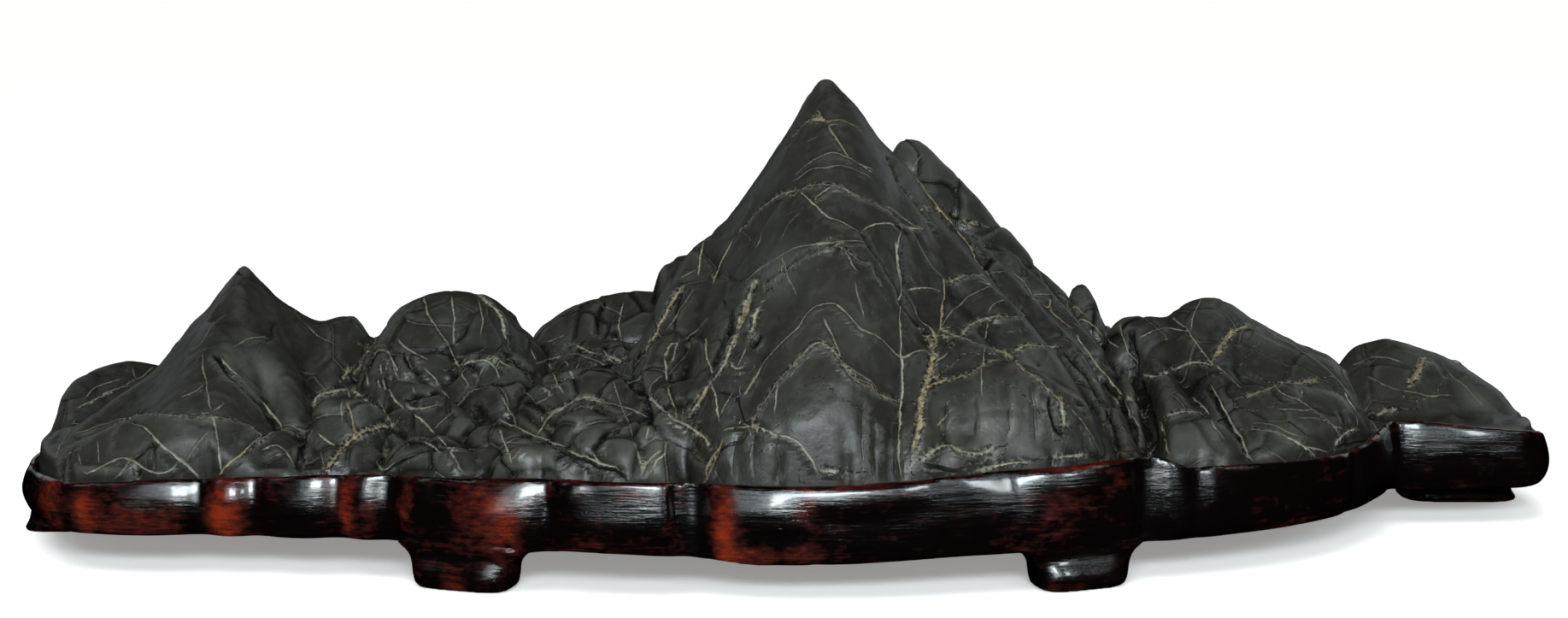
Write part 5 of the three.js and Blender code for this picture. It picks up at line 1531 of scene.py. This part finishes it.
def stand_material(settings):
    """Carved hardwood under black lacquer over red, rubbed through on edges and swellings: a deep
    wet gloss, broken along the wall by the marks of the scraper."""
    material, tree = new_material("rubbed black over red lacquer")
    wall = add_node(tree, "Attribute", {"attribute_name": "wall"}).outputs["Vector"]
    rubbed, edge, dull = (
        add_node(tree, "Attribute", {"attribute_name": name}).outputs["Fac"]
        for name in ("rubbed", "edge", "dull"))

    # Noise laid along the wall: its length and height in millimetres and its detail. The scraper's
    # marks are 12 mm long and 0.55 mm high, with broader ones under them.
    marks = {}
    for name, length, height, detail in (
            ("scrape", 12, 0.55, 4), ("plane", 22, 2.6, 2), ("blot", 7, 4, 3), ("chip", 2.6, 1.2, 3)):
        drawn = add_node(
            tree, "Mapping", {"Scale": (1000 / length, 1000 / height, 1000 / height)}, {"Vector": wall})
        marks[name] = add_node(
            tree, "TexNoise", {"Scale": 1.0, "Detail": detail, "Roughness": 0.6}, {"Vector": drawn})

    # Red shows where the black is rubbed thin, with a ragged border.
    worn_edge = add_node(
        tree, "MapRange", {"From Min": -0.06, "From Max": -0.3, "To Max": 0.9}, {"Value": edge})
    groove = add_node(tree, "MapRange", {"From Min": 0.03, "From Max": 0.2}, {"Value": edge})
    thin = add_node(tree, "Math", {"operation": "MAXIMUM"}, {0: rubbed, 1: worn_edge})
    for source, amount, middle in (
            (marks["blot"], 1.6, 0.5), (marks["scrape"], 1.3, 0.5), (marks["chip"], 1.7, 0.5),
            (groove, -1.0, 0.0), (dull, -1.0, 0.0)):
        spread = add_node(
            tree, "Math", {"operation": "MULTIPLY_ADD", 1: amount, 2: -amount * middle}, {0: source})
        thin = add_node(tree, "Math", {"operation": "ADD"}, {0: thin, 1: spread})
    shows, fully = (
        add_node(
            tree, "MapRange", {"interpolation_type": "SMOOTHSTEP", "From Min": low, "From Max": high},
            {"Value": thin})
        for low, high in ((0.1, 1.0), (0.7, 2.1)))
    tone = add_node(
        tree, "Mix", {"data_type": "RGBA", 6: linear(tuple(settings.lacquer)), 7: linear("#2b0c09")},
        {0: shows}).outputs[2]
    tone = add_node(
        tree, "Mix", {"data_type": "RGBA", 7: linear(tuple(settings.undercoat))},
        {0: fully, 6: tone}).outputs[2]

    relief = add_node(tree, "Math", {"operation": "MULTIPLY", 1: 0.12}, {0: marks["scrape"]})
    relief = add_node(
        tree, "Math", {"operation": "MULTIPLY_ADD", 1: 0.22}, {0: marks["plane"], 2: relief})
    bump = add_node(tree, "Bump", {"Strength": 1.0, "Distance": MM}, {"Height": relief})
    roughness = add_node(
        tree, "MapRange", {"From Min": 0.3, "From Max": 0.7, "To Min": 0.13, "To Max": 0.24},
        {"Value": marks["blot"]})
    roughness = add_node(tree, "Math", {"operation": "MULTIPLY_ADD", 1: 0.3}, {0: dull, 2: roughness})
    coat = add_node(tree, "Math", {"operation": "MULTIPLY_ADD", 1: -0.55, 2: 0.6}, {0: dull})
    shader = add_node(
        tree, "BsdfPrincipled", {"IOR": 1.5, "Coat Roughness": 0.12},
        {"Base Color": tone, "Roughness": roughness, "Coat Weight": coat, "Normal": bump})
    add_node(tree, "OutputMaterial", {}, {"Surface": shader})
    return material


class BuildStudio(bpy.types.Operator):
    """Lay a pale floor, hang soft lights over the front and set the camera"""
    bl_idname = "suiseki.build_studio"
    bl_label = "Build the studio"

    def execute(self, context):
        settings = context.scene.suiseki_studio
        deselect_all()
        bpy.ops.mesh.primitive_plane_add(size=settings.floor_size)
        floor = context.object
        floor.name = "studio_floor"
        material, tree = new_material("matt white paper")
        shader = add_node(
            tree, "BsdfPrincipled",
            {"Base Color": linear(tuple(settings.floor)), "Roughness": 0.9, "Specular IOR Level": 0.2,
             "Emission Color": linear(tuple(settings.floor)), "Emission Strength": 0.31})
        add_node(tree, "OutputMaterial", {}, {"Surface": shader})
        floor.data.materials.append(material)
        floor.visible_glossy = False

        world = bpy.data.worlds.new("white_room")
        world.use_nodes = True
        world.node_tree.nodes.clear()
        background = add_node(
            world.node_tree, "Background", {"Color": linear("#ffffff"), "Strength": 0.22})
        add_node(world.node_tree, "OutputWorld", {}, {"Surface": background})
        world.cycles_visibility.glossy = False
        context.scene.world = world
        context.scene.view_settings.view_transform = "Standard"

        # Softboxes: place, aim, width, depth, power.
        for name, place, aim, width, depth, power in (
                ("softbox_front", (0.0, -1.14, 0.56), (0, -0.02, 0.04), 0.52, 0.2,
                 0.76 * settings.softbox_power),
                ("softbox_front_right", (0.72, -0.98, 0.56), (0.03, -0.05, 0.02), 0.18, 0.2,
                 0.2 * settings.softbox_power),
                ("softbox_front_veil", (-0.04, -1.16, 0.54), (0, -0.02, 0.04), 1.1, 0.5,
                 0.28 * settings.softbox_power),
                ("softbox_back_left", (-0.9, 1.1, 0.45), (0, 0, 0.03), 0.8, 0.6, 0.5),
                ("softbox_back_right", (0.9, 1.1, 0.45), (0, 0, 0.03), 0.8, 0.6, 0.8),
                ("softbox_left", (-0.95, -0.35, 1.0), (-0.02, 0, 0.05), 0.3, 0.5, 0.5),
                ("softbox_right", (0.95, -0.35, 1.05), (0.02, 0, 0.05), 0.3, 0.5, 1.0)):
            bpy.ops.object.light_add(type="AREA", location=place)
            light = context.object
            light.name = name
            light.data.shape = "RECTANGLE"
            light.data.size = width
            light.data.size_y = depth
            light.data.energy = power
            light.data.color = (0.86, 0.96, 1.0)
            towards = Vector(aim) - Vector(place)
            light.rotation_euler = towards.to_track_quat("-Z", "Y").to_euler()
        bpy.ops.object.light_add(
            type="SUN", location=(0, 0, 2), rotation=(math.radians(14), math.radians(-10), 0))
        sun = context.object
        sun.name = "sky_panel"
        sun.data.energy = 2.0
        sun.data.angle = math.radians(45)
        sun.visible_glossy = False

        bpy.ops.object.camera_add(
            location=Vector(CAMERA_PLACE) * MM, rotation=(math.pi / 2 - CAMERA_PITCH, 0, 0))
        camera = context.object
        camera.name = "picture_camera"
        camera.data.sensor_fit = "HORIZONTAL"
        camera.data.sensor_width = SENSOR_WIDTH
        camera.data.lens = SENSOR_WIDTH * FOCAL_PIXELS / PICTURE[0]
        camera.data.clip_start = 0.01
        camera.data.clip_end = 200
        context.scene.camera = camera
        return {"FINISHED"}


class SuisekiPanel(bpy.types.Panel):
    """Sizes, colours and build steps of the stone, the stand and the studio"""
    bl_idname = "VIEW3D_PT_suiseki"
    bl_label = "Suiseki"
    bl_space_type = "VIEW_3D"
    bl_region_type = "UI"
    bl_category = "Suiseki"

    def draw(self, context):
        scene = context.scene
        for settings, operator in (
                (scene.suiseki_stone, BuildStone), (scene.suiseki_stand, BuildStand),
                (scene.suiseki_studio, BuildStudio)):
            box = self.layout.box()
            for name in settings.__annotations__:
                box.prop(settings, name)
            box.operator(operator.bl_idname)


CLASSES = (
    StoneSettings, StandSettings, StudioSettings, BuildStone, BuildStand, BuildStudio, SuisekiPanel)


def register():
    for item in CLASSES:
        bpy.utils.register_class(item)
    bpy.types.Scene.suiseki_stone = PointerProperty(type=StoneSettings)
    bpy.types.Scene.suiseki_stand = PointerProperty(type=StandSettings)
    bpy.types.Scene.suiseki_studio = PointerProperty(type=StudioSettings)


def unregister():
    del bpy.types.Scene.suiseki_studio
    del bpy.types.Scene.suiseki_stand
    del bpy.types.Scene.suiseki_stone
    for item in reversed(CLASSES):
        bpy.utils.unregister_class(item)


def main():
    register()
    bpy.ops.suiseki.build_studio()
    bpy.ops.suiseki.build_stone()
    bpy.ops.suiseki.build_stand()


if __name__ == "__main__":
    main()
